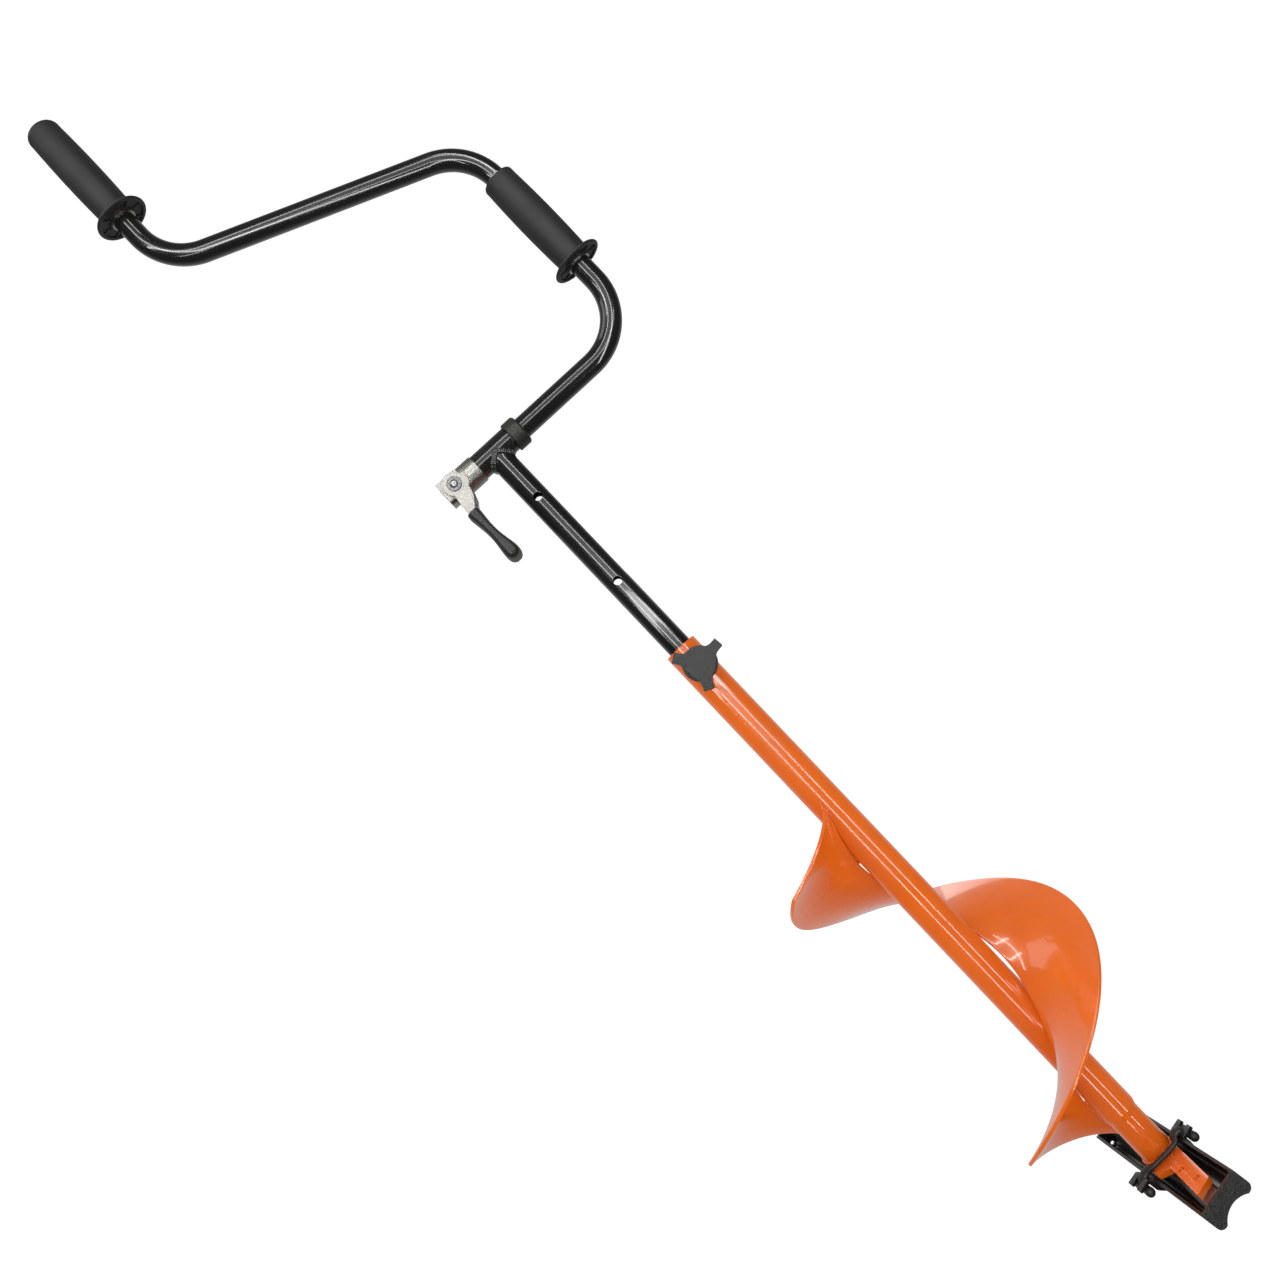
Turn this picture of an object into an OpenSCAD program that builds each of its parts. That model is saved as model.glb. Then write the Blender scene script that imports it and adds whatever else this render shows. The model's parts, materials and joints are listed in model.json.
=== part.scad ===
// Hand auger for ice: a telescoping post in a drill tube with a spiral flight,
// a folding crank with two spinning grips, and two blades under a strapped guard.
// The drill axis is Z, the crank lies in the XZ plane and the knob points along -Y.
// The origin is on the drill axis, where a rack clip holds the tube.

/* [Post] */
// Outer diameter of the post
post_od = 22; // [20:0.5:23]
// Wall of the post
post_wall = 2; // [1.5:0.25:2.5]
// Length of the post below the socket's axis
post_len = 375; // [320:5:420]
// Diameter of the lock holes across the post
lock_hole_d = 8.2; // [6:0.2:9]
// Distance from one lock hole to the next
hole_pitch = 100; // [80:5:120]
// Depth of the first lock hole below the socket's axis
first_hole_below = 55.5; // [40:0.5:70]
// Height of the socket's axis over the rack zone
rack_below_socket = 340; // [300:5:380]

/* [Drill tube] */
// Outer diameter of the drill tube
tube_od = 30; // [28:0.5:34]
// Wall of the drill tube
tube_wall = 1.5; // [1.2:0.1:2]
// Length of the drill tube
tube_len = 564; // [480:2:680]
// Outer diameter of the swaged neck at the bit end
neck_od = 27; // [24:0.5:28]
// Length of the swaged neck
neck_len = 40; // [25:1:50]
// Length of the guide bush
bush_len = 40; // [35:1:60]
// Depth of the lock screw below the tube's top
screw_below_top = 22.5; // [15:0.5:26]

/* [Flight] */
// Radius of the flight's rim
flight_r = 90.4; // [75:0.2:110]
// Rise of the flight in one turn
flight_pitch = 269; // [220:1:300]
// Thickness of the flight's sheet
flight_t = 3; // [2:0.5:4]
// Length of bare tube over the flight's root
flight_below_top = 178; // [150:1:220]
// Angle that the flight's root winds through
flight_turn = 491; // [400:1:500]
// Largest gap between the flight's root and the tube
flight_root_gap = 2.6; // [0:0.2:4]

/* [Crank] */
// Outer diameter of the crank tube
crank_od = 20; // [19:0.5:21]
// Wall of the crank tube
crank_wall = 2; // [1.5:0.25:2.5]
// Distance from the drill axis to the lower grip's axis
crank_reach = 168.4; // [150:0.2:200]
// Height of the elbow over the socket's axis
elbow_height = 219.2; // [215:0.2:260]
// Distance from the drill axis to the upper grip's axis
top_offset = 97.6; // [80:0.2:130]
// Height of the shoulder over the socket's axis
shoulder_height = 325.2; // [300:0.2:380]
// Height of the crank tube's top end over the socket's axis
crank_height = 490; // [475:1:580]
// Bend radius of the crank tube's centre line
bend_r = 55; // [45:1:60]

/* [Socket and clamp] */
// Wall of the socket tube
socket_wall = 1.92; // [1.5:0.02:3]
// Reach of the socket on the crank side
socket_right = 18; // [15:1:25]
// Reach of the socket on the clamp side
socket_left = 30; // [26:1:36]
// Width of the collar along the crank
collar_w = 13; // [10:0.5:18]
// Outer diameter of the collar
collar_od = 28; // [26:0.5:34]
// Wall of the clamp sleeve
sleeve_wall = 0.92; // [0.8:0.04:1.6]
// Length of the clamp sleeve's round part
sleeve_round = 17; // [15:0.5:20]
// Length of the clamp sleeve's flattened part
sleeve_flat = 21; // [18:0.5:26]
// Diameter of the lever's pivot pin
pin_d = 8; // [6:0.2:9]
// Travel of the clamp sleeve
sleeve_travel = 1.6; // [1:0.1:2]

/* [Lever] */
// Thickness of each lever plate
lever_t = 2; // [1.5:0.25:3]
// Radius of the lever's head
lever_head_r = 11; // [9.5:0.25:12]
// Distance from the pivot to the lever grip's upper end
lever_grip_from = 27; // [24:0.5:32]
// Distance from the pivot to the lever grip's lower end
lever_grip_to = 82; // [70:1:100]
// Width of the lever grip near its rounded end
lever_grip_w = 14.4; // [11:0.2:18]

/* [Grips] */
// Radius of a grip at its middle
grip_r = 16.5; // [15:0.25:19]
// Radius of a grip at its ends
grip_end_r = 15.5; // [14:0.25:18]
// Radius of a grip's flange
flange_r = 24.5; // [20:0.5:28]
// Thickness of a grip's flange
flange_t = 3; // [2:0.25:5]
// Length of the upper grip
upper_grip_len = 114; // [110:1:124]
// Length of the lower grip
lower_grip_len = 104.5; // [80:0.5:105]
// Height of the lower grip's flange over the socket's axis
lower_grip_z = 75.6; // [72:0.2:76]

/* [Post lock] */
// Diameter of the lock screw
screw_d = 8; // [6:0.5:9]
// Outer diameter of the lock nut's boss
boss_od = 17; // [14:0.5:22]
// Reach of the boss from the drill axis
boss_reach = 25; // [20:0.5:30]
// Radius of the knob's arms
knob_r = 23; // [18:0.5:30]
// Depth of the knob along its screw
knob_depth = 19.4; // [14:0.2:26]
// Width of a knob arm at its tip
knob_tip_w = 8.5; // [6:0.5:10]

/* [Blades] */
// Thickness of the blade plate
plate_t = 5; // [4:0.5:7]
// Half width of the blade plate's hub
hub_r = 14.6; // [14.2:0.1:15]
// Length of a blade arm from the drill axis
arm_len = 83; // [74:1:88]
// Thickness of a blade
blade_t = 2.5; // [2:0.25:3]
// Radius that the blades' tips turn in
blade_r = 93.5; // [80:0.5:93.5]
// Diameter of a blade screw
blade_screw_d = 5; // [4:0.5:6]
// Turn of the guard against the crank
head_turn = 2.2; // [-4:0.2:4]
// Turn of the plate and its blades against the crank
plate_turn = -3.6; // [-5:0.2:3]

/* [Guard] */
// Length of the blade guard
guard_len = 194; // [194:1:240]
// Width of the blade guard
guard_w = 41; // [40.5:0.5:56]
// Height of the blade guard
guard_h = 19; // [18:0.5:26]
// Wall of the blade guard
guard_wall = 2.5; // [2:0.25:2.75]
// Roll of the guard about its length
guard_roll = 9.7; // [6:0.1:10]
// Diameter of the strap's toggle bars
bar_d = 8; // [6:0.5:9]
// Length of the strap's toggle bars
bar_len = 28; // [24:1:36]

/* [Fits] */
// Radial clearance of parts that slide or turn in each other
run_fit = 0.08; // [0.05:0.01:0.1]
// Gap between faces that pass each other
gap = 0.3; // [0.2:0.05:0.6]

/* [Hidden] */
$fn = 64;
cut = 1;  // overshoot of cutting tools

post_r = post_od / 2;
tube_r = tube_od / 2;
tube_bore = tube_r - tube_wall;
neck_r = neck_od / 2;
swage_len = 5;
crank_r = crank_od / 2;
crank_bore = crank_r - crank_wall;
socket_bore = crank_r + run_fit;
socket_r = socket_bore + socket_wall;
pin_r = pin_d / 2;
screw_r = screw_d / 2;

z_socket = rack_below_socket;
z_screw = z_socket - first_hole_below - 2 * hole_pitch;
z_tube_top = z_screw + screw_below_top;
z_tube_end = z_tube_top - tube_len;
z_flight = z_tube_top - flight_below_top;

// Flight: its two ends are cut back, and its sheet is raked and dished a little
flight_start = -111;
flight_lead_in = 38;
flight_run_out = 84;
flight_rake = 0.058;
flight_dish = 0.034;
flight_sink = 0.3;
flight_steps = 66;
flight_rings = 4;

// Crank: corners of its centre line, from the clamp end to the top
crank_tail = 36;
lap = 0.5;
hair = 0.01;
crank_path = [[-crank_tail, 0], [crank_reach, 0], [crank_reach, elbow_height],
  [-top_offset, shoulder_height], [-top_offset, crank_height]];
grip_bore = crank_r + run_fit;
grip_end_wall = 4.5;
plug_head = 2.5;
upper_grip_z = crank_height + plug_head + 1 + grip_end_wall - upper_grip_len;
ring_r = crank_r + 1.6;
ring_t = 1.3;

// Clamp: the sleeve's floor bears on the socket's end, and the pin crosses the plug
sleeve_bore = socket_r + run_fit;
sleeve_r = sleeve_bore + sleeve_wall;
sleeve_start = socket_left - 10;
sleeve_floor = socket_left + gap;
sleeve_mid = sleeve_start + sleeve_round;
sleeve_end = sleeve_mid + sleeve_flat;
pin_x = sleeve_mid + 8;
flat_y = sleeve_r - 1;
flat_z = sleeve_r - 2;
flat_wall = 2;
flat_corner = 5;
plug_r = crank_bore - 0.02;
plug_tongue = pin_x + 8;
tongue_half = 7;
lever_in = sleeve_r + gap;
lever_out = lever_in + lever_t;
washer_r = 8;
washer_t = 0.8;
dome_r = 6.5;
dome_h = 1.8;

// Lever: neck and grip hang beside the pivot
neck_x = -4.6;
neck_half = 4.15;
lever_tang = lever_grip_from + 13;
grip_half_y = lever_out + 1.7;
grip_waist_w = 8.6;
grip_waist_z = 50;
grip_top_w = 12.5;
grip_lean = 1.6;

// Knob
knob_turn = 6;
knob_back = boss_reach + 2 * gap;
knob_hub_r = 8;
knob_body_r = 10;
knob_disc_r = 15;
knob_disc_len = 9;
knob_hub_len = 6;
knob_root_w = 8;
knob_screw_depth = 13;

// Head: the tube's end is at local z = 0, and the plate is welded under it
arm_right = hub_r - 1;
arm_left = 2.2;
arm_slant = 7.5;
lobe = hub_r - 0.4;
lobe_from = 14;
lobe_to = 25.2;
arm_from = 31.9;
blade_right = 11;
blade_left = 5;
blade_root = 15;
blade_bevel = 3;
screw_rows = [[5.6, -21.2], [2.9, -43.4], [7, -65.5]];
screw_head_r = 4.2;
screw_head_h = 2.8;
screw_recess = 0.8;

// Guard: its section is rolled about the point [guard_x, guard_z]
guard_x = 0.9;
guard_z = -10;
guard_corner = 5;
arch_rise = 5.5;
arch_half = 14;
arch_r = (arch_half * arch_half + arch_rise * arch_rise) / (2 * arch_rise);
bar_r = bar_d / 2;
bar_y = -11;
bar_out = [8.8, 6.3];
bar_drop = [1.5, 5.9];
lug_t = 2.8;
lug_w = 6.5;
lug_gap = 9;
strap_r = 2;
strap_front = 17.8;
lug_clear = 0.6;

// Ring with a bore, standing on z = 0
module pipe(r_out, r_in, h) {
  difference() {
    cylinder(r = r_out, h = h);
    translate([0, 0, -cut]) cylinder(r = r_in, h = h + 2 * cut);
  }
}

// Rod along X from x0 to x1 at the socket's height
module rod_x(r, x0, x1) {
  translate([x0, 0, z_socket]) rotate([0, 90, 0]) cylinder(r = r, h = x1 - x0);
}

// Rod along Y from y0 to y1
module rod_y(r, y0, y1) {
  translate([0, y0, 0]) rotate([-90, 0, 0]) cylinder(r = r, h = y1 - y0);
}

// Outline in the XZ plane, y0 to y1 thick
module slab_y(y0, y1) {
  translate([0, y1, 0]) rotate([90, 0, 0]) linear_extrude(y1 - y0) children();
}

// ---- Drill tube ----

module main_tube() {
  color("orangered") difference() {
    union() {
      translate([0, 0, z_tube_end]) cylinder(r = neck_r, h = neck_len);
      translate([0, 0, z_tube_end + neck_len]) cylinder(r1 = neck_r, r2 = tube_r, h = swage_len);
      translate([0, 0, z_tube_end + neck_len + swage_len])
        cylinder(r = tube_r, h = tube_len - neck_len - swage_len);
    }
    translate([0, 0, z_tube_end - cut]) cylinder(r = neck_r - tube_wall, h = neck_len + cut);
    translate([0, 0, z_tube_end + neck_len])
      cylinder(r1 = neck_r - tube_wall, r2 = tube_bore, h = swage_len);
    translate([0, 0, z_tube_end + neck_len + swage_len]) cylinder(r = tube_bore, h = tube_len);
    translate([0, 0, z_screw]) rod_y(screw_r + gap, -tube_r - cut, 0);
  }
}

module guide_bush() {
  color("dimgray") difference() {
    translate([0, 0, z_tube_top - cut - bush_len]) pipe(tube_bore, post_r + run_fit, bush_len);
    translate([0, 0, z_screw]) rod_y(screw_r + gap, -tube_r, 0);
  }
}

module lock_nut() {
  color("orangered") translate([0, 0, z_screw]) difference() {
    rod_y(boss_od / 2, -boss_reach, 0);
    translate([0, 0, -boss_od]) cylinder(r = tube_r, h = 2 * boss_od);
    rod_y(screw_r + run_fit, -boss_reach - cut, cut);
  }
}

function flight_point(t, k, side) =
  let (root = tube_r - flight_sink + (flight_root_gap + flight_sink) * sin(180 * t),
       r = root + (flight_r - root) * k,
       width = flight_r - tube_r,
       start = flight_start - flight_lead_in * (r - tube_r) / width,
       end = flight_start - flight_turn + flight_run_out * (r - tube_r) / width,
       a = start + (end - start) * t,
       sag = flight_rake * (r - tube_r) + flight_dish * (r - tube_r) * (flight_r - r) / width,
       half = side * flight_t / 2 * sqrt(1 + pow(flight_pitch / (2 * PI * r), 2)))
  [r * cos(a), r * sin(a), z_flight + flight_pitch * (a - flight_start) / 360 - sag + half];

function flight_index(i, j, s) = 2 * (i * (flight_rings + 1) + j) + s;

function quad(a, b, c, d) = [[a, b, c], [a, c, d]];

module flight() {
  n = flight_steps;
  m = flight_rings;
  points = [for (i = [0:n], j = [0:m], s = [-1, 1]) flight_point(i / n, j / m, s)];
  faces = [
    for (i = [0:n - 1], j = [0:m - 1]) each quad(flight_index(i, j, 1),
      flight_index(i, j + 1, 1), flight_index(i + 1, j + 1, 1), flight_index(i + 1, j, 1)),
    for (i = [0:n - 1], j = [0:m - 1]) each quad(flight_index(i, j, 0),
      flight_index(i + 1, j, 0), flight_index(i + 1, j + 1, 0), flight_index(i, j + 1, 0)),
    for (i = [0:n - 1]) each quad(flight_index(i, 0, 1), flight_index(i + 1, 0, 1),
      flight_index(i + 1, 0, 0), flight_index(i, 0, 0)),
    for (i = [0:n - 1]) each quad(flight_index(i, m, 1), flight_index(i, m, 0),
      flight_index(i + 1, m, 0), flight_index(i + 1, m, 1)),
    for (j = [0:m - 1]) each quad(flight_index(0, j + 1, 1), flight_index(0, j, 1),
      flight_index(0, j, 0), flight_index(0, j + 1, 0)),
    for (j = [0:m - 1]) each quad(flight_index(n, j, 1), flight_index(n, j + 1, 1),
      flight_index(n, j + 1, 0), flight_index(n, j, 0))];
  color("orangered") polyhedron(points, faces);
}

// ---- Head ----

module at_head() {
  translate([0, 0, z_tube_end]) rotate([0, 0, head_turn]) children();
}

module at_plate() {
  translate([0, 0, z_tube_end]) rotate([0, 0, plate_turn]) children();
}

module both_ends() {
  for (a = [0, 180]) rotate([0, 0, a]) children();
}

module blade_screw_holes(r, z0, z1) {
  for (p = screw_rows) translate([p[0], p[1], z0]) cylinder(r = r, h = z1 - z0);
}

module blade_plate() {
  color("orangered") at_plate() difference() {
    translate([0, 0, -plate_t]) {
      cylinder(r = hub_r, h = plate_t);
      linear_extrude(plate_t) polygon([for (s = [1, -1], q = [[arm_right, -12],
        [arm_right, -arm_len + arm_slant], [-arm_left, -arm_len], [-arm_left, -arm_from],
        [-lobe, -lobe_to], [-lobe, -lobe_from]]) s * q]);
    }
    both_ends() blade_screw_holes(blade_screw_d / 2, -plate_t - cut, cut);
  }
}

module blade() {
  difference() {
    intersection() {
      slab_y(-blade_r, -blade_root) polygon([[blade_right, -plate_t],
        [blade_right, -plate_t - blade_t], [-blade_left, -plate_t - blade_t],
        [-blade_left + blade_bevel, -plate_t]]);
      translate([0, 0, -2 * plate_t - blade_t]) cylinder(r = blade_r, h = 3 * plate_t);
    }
    blade_screw_holes(blade_screw_d / 2, -plate_t - blade_t - cut, cut);
  }
}

module blade_front() {
  color("slategray") at_plate() blade();
}

module blade_rear() {
  color("slategray") at_plate() rotate([0, 0, 180]) blade();
}

// Screwed up from below, so that their ends lie a little under the plate's top
module blade_screws() {
  under = plate_t + blade_t;
  color("silver") at_plate() both_ends() {
    blade_screw_holes(blade_screw_d / 2, -under - screw_head_h / 2, -screw_recess);
    blade_screw_holes(screw_head_r, -under - screw_head_h, -under);
  }
}

// ---- Guard and strap ----

function rolled(x, z) = [guard_x + x * cos(guard_roll) - z * sin(guard_roll),
  guard_z + x * sin(guard_roll) + z * cos(guard_roll)];

function bar_place(i) = [(i == 0 ? -1 : 1) * (guard_w / 2 + bar_out[i]), guard_h / 2 - bar_drop[i]];

module guard_section(inset, up) {
  w = guard_w / 2 - inset;
  r = guard_corner - inset;
  low = -guard_h / 2 + inset;
  difference() {
    union() {
      translate([-w, low + r]) square([2 * w, guard_h / 2 + up - low - r]);
      translate([-w + r, low]) square([2 * (w - r), 2 * r]);
      for (s = [-1, 1]) translate([s * (w - r), low + r]) circle(r = r);
    }
    translate([0, -guard_h / 2 + arch_rise - arch_r]) circle(r = arch_r + inset);
  }
}

// Hook over one toggle bar, on the left (i = 0) or the right (i = 1) wall
module guard_lug(i) {
  side = i == 0 ? -1 : 1;
  wall = guard_w / 2;
  bar = bar_place(i);
  out = abs(bar[0]) + bar_r + 1;
  rib = abs(bar[0]) - bar_r - lug_clear;
  under = bar[1] + bar_r + lug_clear;
  foot = guard_h / 2 - 11;
  for (y = [bar_y - (lug_gap + lug_w) / 2, bar_y + (lug_gap + lug_w) / 2])
    slab_y(y - lug_w / 2, y + lug_w / 2) scale([side, 1]) polygon([[wall - 1, foot],
      [wall + gap, foot], [rib, foot + 6], [rib, under], [out, under], [out, under + lug_t],
      [rib - 1.5, under + lug_t], [wall - 1, guard_h / 2 - cut]]);
}

module blade_guard() {
  color("black") at_head() translate([guard_x, 0, guard_z]) rotate([0, -guard_roll, 0]) {
    difference() {
      slab_y(-guard_len / 2, guard_len / 2) guard_section(0, 0);
      slab_y(-guard_len / 2 + guard_wall, guard_len / 2 - guard_wall)
        guard_section(guard_wall, 2 * cut);
    }
    guard_lug(0);
    guard_lug(1);
  }
}

module strap_node(p) {
  translate(p) sphere(r = strap_r, $fn = 16);
}

module guard_strap() {
  wall = guard_w / 2;
  top = guard_h / 2;
  places = [[bar_place(0), bar_y], [[-wall - 4, top + 3.6], bar_y - 0.5],
    [[-wall + 3, top + 5.6], bar_y - 2], [[wall - 3, top + 2.8], bar_y - 2],
    [[wall + 2.5, top + 2.4], bar_y - 0.5], [bar_place(1), bar_y]];
  ends = [for (p = places) let (q = rolled(p[0][0], p[0][1])) [q[0], p[1], q[1]]];
  front = [[-neck_r + 3, -strap_front, strap_r + 1.2], [neck_r - 3, -strap_front, strap_r + 1.4]];
  run = [ends[0], ends[1], ends[2], front[0], front[1], ends[3], ends[4], ends[5]];
  color("black") at_head() {
    for (i = [0:len(run) - 2]) hull() {
      strap_node(run[i]);
      strap_node(run[i + 1]);
    }
    for (e = [ends[0], ends[5]]) translate([e[0], 0, e[2]])
      rod_y(bar_r, bar_y - bar_len / 2, bar_y + bar_len / 2);
  }
}

// ---- Post ----

module lock_holes() {
  for (i = [0:3]) translate([0, 0, z_socket - first_hole_below - i * hole_pitch])
    rod_y(lock_hole_d / 2, -post_od, post_od);
}

module post_tube() {
  color("black") difference() {
    translate([0, 0, z_socket - post_len]) pipe(post_r, post_r - post_wall, post_len);
    rod_x(socket_r, -post_od, post_od);
    lock_holes();
  }
}

module post_foot() {
  foot_len = 12;
  color("black") translate([0, 0, z_socket - post_len]) {
    cylinder(r = post_r - post_wall, h = foot_len);
    translate([0, 0, -2]) cylinder(r = post_r - gap, h = 2);
  }
}

module socket_tube() {
  color("black") difference() {
    rod_x(socket_r, -socket_left, socket_right);
    rod_x(socket_bore, -socket_left - cut, socket_right + cut);
  }
}

module socket_weld() {
  bead = 2.6;
  drop = sqrt(socket_r * socket_r - post_r * post_r);
  color("black") difference() {
    translate([0, 0, z_socket - socket_r - bead]) difference() {
      union() {
        cylinder(r1 = post_r + 0.6, r2 = post_r + bead, h = bead);
        translate([0, 0, bead]) cylinder(r = post_r + bead, h = socket_r - drop + bead / 2);
      }
      translate([0, 0, -cut]) cylinder(r = post_r, h = 2 * socket_r);
    }
    rod_x(socket_r, -2 * post_od, 2 * post_od);
  }
}

// ---- Crank ----

function run_angle(p, i) = atan2(p[i + 1][1] - p[i][1], p[i + 1][0] - p[i][0]);

function turn_at(p, i) = run_angle(p, i) - run_angle(p, i - 1);

function trim_at(p, i) =
  i == 0 || i == len(p) - 1 ? 0 : bend_r * tan(abs(turn_at(p, i)) / 2);

// Round tube along a planar path with bends: straight pipes and torus segments.
// The pipes lap into the bends, inside their wall by a hair, so that they join cleanly.
module bent_tube(p, r, bore) {
  last = len(p) - 2;
  for (i = [0:last]) {
    before = i == 0 ? 0 : lap;
    after = i == last ? 0 : lap;
    run = norm(p[i + 1] - p[i]) - trim_at(p, i) - trim_at(p, i + 1) + before + after;
    translate([p[i][0], 0, p[i][1]]) rotate([0, -run_angle(p, i), 0])
      translate([trim_at(p, i) - before, 0, 0]) rotate([0, 90, 0])
        pipe(r - hair, bore + hair, run);
  }
  for (i = [1:last]) {
    a = run_angle(p, i - 1);
    turn = turn_at(p, i);
    centre = p[i] - trim_at(p, i) * [cos(a), sin(a)] + sign(turn) * bend_r * [-sin(a), cos(a)];
    start = turn > 0 ? a - 90 : a + 90 + turn;
    translate([centre[0], 0, centre[1]]) rotate([90, 0, 0]) rotate([0, 0, start])
      rotate_extrude(angle = abs(turn)) translate([bend_r, 0]) difference() {
        circle(r = r);
        circle(r = bore);
      }
  }
}

collar_start = socket_right + gap;
collar_pin_x = collar_start + collar_w / 2;
collar_pin_r = 1.5;

module crank_tube() {
  color("black") translate([0, 0, z_socket]) difference() {
    bent_tube(crank_path, crank_r, crank_bore);
    translate([collar_pin_x, 0, 0]) rod_y(collar_pin_r, -crank_od, crank_od);
  }
}

module crank_collar() {
  edge = 1.5;
  color("black") difference() {
    translate([collar_start, 0, z_socket]) rotate([0, 90, 0]) rotate_extrude()
      polygon([[crank_r, 0], [collar_od / 2 - edge / 2, 0], [collar_od / 2, edge / 2],
        [collar_od / 2, collar_w - edge], [collar_od / 2 - edge, collar_w], [crank_r, collar_w]]);
    translate([collar_pin_x, 0, z_socket]) rod_y(collar_pin_r, -collar_od, collar_od);
  }
}

module collar_pin() {
  reach = collar_od / 2 - 1;
  color("silver") translate([collar_pin_x, 0, z_socket]) rod_y(collar_pin_r, -reach, reach);
}

module draw_plug() {
  color("gray") difference() {
    union() {
      rod_x(plug_r, -crank_tail, -crank_tail + 18);
      intersection() {
        rod_x(crank_r - gap, -plug_tongue, -crank_tail);
        translate([-plug_tongue, -crank_r, z_socket - tongue_half])
          cube([plug_tongue - crank_tail, crank_od, 2 * tongue_half]);
      }
    }
    translate([-pin_x, 0, z_socket]) rod_y(pin_r, -crank_od, crank_od);
  }
}

module lever_pin() {
  color("silver") translate([-pin_x, 0, z_socket]) {
    rod_y(pin_r, -lever_out - gap, lever_out + gap);
    for (a = [90, -90]) rotate([a, 0, 0]) translate([0, 0, lever_out + gap]) {
      cylinder(r = washer_r, h = washer_t);
      translate([0, 0, washer_t]) intersection() {
        cylinder(r = dome_r, h = dome_h);
        translate([0, 0, dome_h - (dome_r * dome_r + dome_h * dome_h) / (2 * dome_h)])
          sphere(r = (dome_r * dome_r + dome_h * dome_h) / (2 * dome_h));
      }
    }
  }
}

module upper_end_plug() {
  color("black") translate([-top_offset, 0, z_socket + crank_height]) {
    translate([0, 0, -20]) cylinder(r = plug_r, h = 20);
    cylinder(r = crank_r - gap, h = plug_head);
  }
}

// Snap ring on the crank tube, from z up
module snap_ring(x, z) {
  translate([x, 0, z_socket + z]) pipe(ring_r, crank_r, ring_t);
}

module grip_rings() {
  color("silver") {
    snap_ring(crank_reach, lower_grip_z - gap - ring_t);
    snap_ring(crank_reach, lower_grip_z + lower_grip_len + gap);
    snap_ring(-top_offset, upper_grip_z - gap - ring_t);
  }
}

// ---- Clamp ----

module pin_slot(r, travel) {
  translate([-pin_x, 0, z_socket]) {
    rod_y(r, -tube_od, tube_od);
    translate([travel, 0, 0]) rod_y(r, -tube_od, tube_od);
    translate([0, -tube_od, -r]) cube([travel, 2 * tube_od, 2 * r]);
  }
}

module clamp_u(half_y, low, high, corner) {
  translate([0, low + corner]) translate([-half_y, 0]) square([2 * half_y, high - low - corner]);
  translate([-half_y + corner, low]) square([2 * (half_y - corner), 2 * corner]);
  for (s = [-1, 1]) translate([s * (half_y - corner), low + corner]) circle(r = corner);
}

module clamp_sleeve() {
  color("silver") difference() {
    union() {
      rod_x(sleeve_r, -sleeve_mid, -sleeve_start);
      translate([-sleeve_end, 0, z_socket]) rotate([90, 0, 90]) linear_extrude(sleeve_flat)
        clamp_u(flat_y, -flat_z, flat_z, flat_corner);
    }
    rod_x(sleeve_bore, -sleeve_floor, -sleeve_start + cut);
    rod_x(socket_bore, -sleeve_mid - cut, 0);
    translate([-sleeve_end - cut, 0, z_socket]) rotate([90, 0, 90])
      linear_extrude(sleeve_flat + cut)
        clamp_u(flat_y - flat_wall, -flat_z + flat_wall, flat_z + cut, flat_corner - flat_wall);
    pin_slot(pin_r + run_fit, sleeve_travel);
  }
}

module lever_outline() {
  circle(r = lever_head_r);
  translate([2, -0.5]) circle(r = lever_head_r);
  polygon([[neck_x - neck_half, 0], [neck_x - neck_half, -lever_tang],
    [neck_x + neck_half, -lever_tang], [neck_x + neck_half, -lever_grip_from - 1], [5.6, -18],
    [8.75, -7.8], [lever_head_r - 0.2, 0]]);
}

module lever_frame() {
  color("silver") translate([-pin_x, 0, z_socket]) for (side = [0, 1]) mirror([0, side, 0])
    difference() {
      slab_y(lever_in, lever_out) lever_outline();
      rod_y(pin_r + run_fit, 0, 2 * lever_out);
    }
}

module lever_grip_outline() {
  end_r = lever_grip_w / 2;
  end_x = neck_x + grip_lean;
  end_z = -lever_grip_to + end_r;
  polygon([[neck_x - grip_top_w / 2, -lever_grip_from],
    [neck_x - grip_waist_w / 2 + grip_lean / 2, -grip_waist_z], [end_x - end_r, end_z],
    [end_x + end_r, end_z], [neck_x + grip_waist_w / 2 + grip_lean / 2, -grip_waist_z],
    [neck_x + grip_top_w / 2, -lever_grip_from]]);
  translate([end_x, end_z]) circle(r = end_r);
}

module lever_grip() {
  color("black") translate([-pin_x, 0, z_socket]) difference() {
    slab_y(-grip_half_y, grip_half_y) lever_grip_outline();
    for (side = [0, 1]) mirror([0, side, 0]) slab_y(lever_in, lever_out) lever_outline();
  }
}

// ---- Grips ----

function barrel(len) = [for (s = [0:0.125:1])
  [grip_end_r + (grip_r - grip_end_r) * sin(180 * s), flange_t + (len - flange_t) * s]];

module grip(x, z, len, shut) {
  round_r = 6;
  tall = shut ? len - round_r : len - 2;
  crown = shut ? [for (a = [0:18:90])
    [grip_end_r - round_r + round_r * cos(a), len - round_r + round_r * sin(a)]]
    : [[grip_end_r - 2, len], [grip_bore, len]];
  inner = shut ? [[0, len], [0, len - grip_end_wall], [grip_bore, len - grip_end_wall]] : [];
  translate([x, 0, z_socket + z]) rotate_extrude()
    polygon(concat([[grip_bore, 0], [flange_r - 0.5, 0], [flange_r, 0.5],
      [flange_r, flange_t - 0.5], [flange_r - 0.5, flange_t]], barrel(tall), crown, inner));
}

module upper_grip() {
  color("black") grip(-top_offset, upper_grip_z, upper_grip_len, true);
}

module lower_grip() {
  color("black") grip(crank_reach, lower_grip_z, lower_grip_len, false);
}

// ---- Post lock ----

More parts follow.
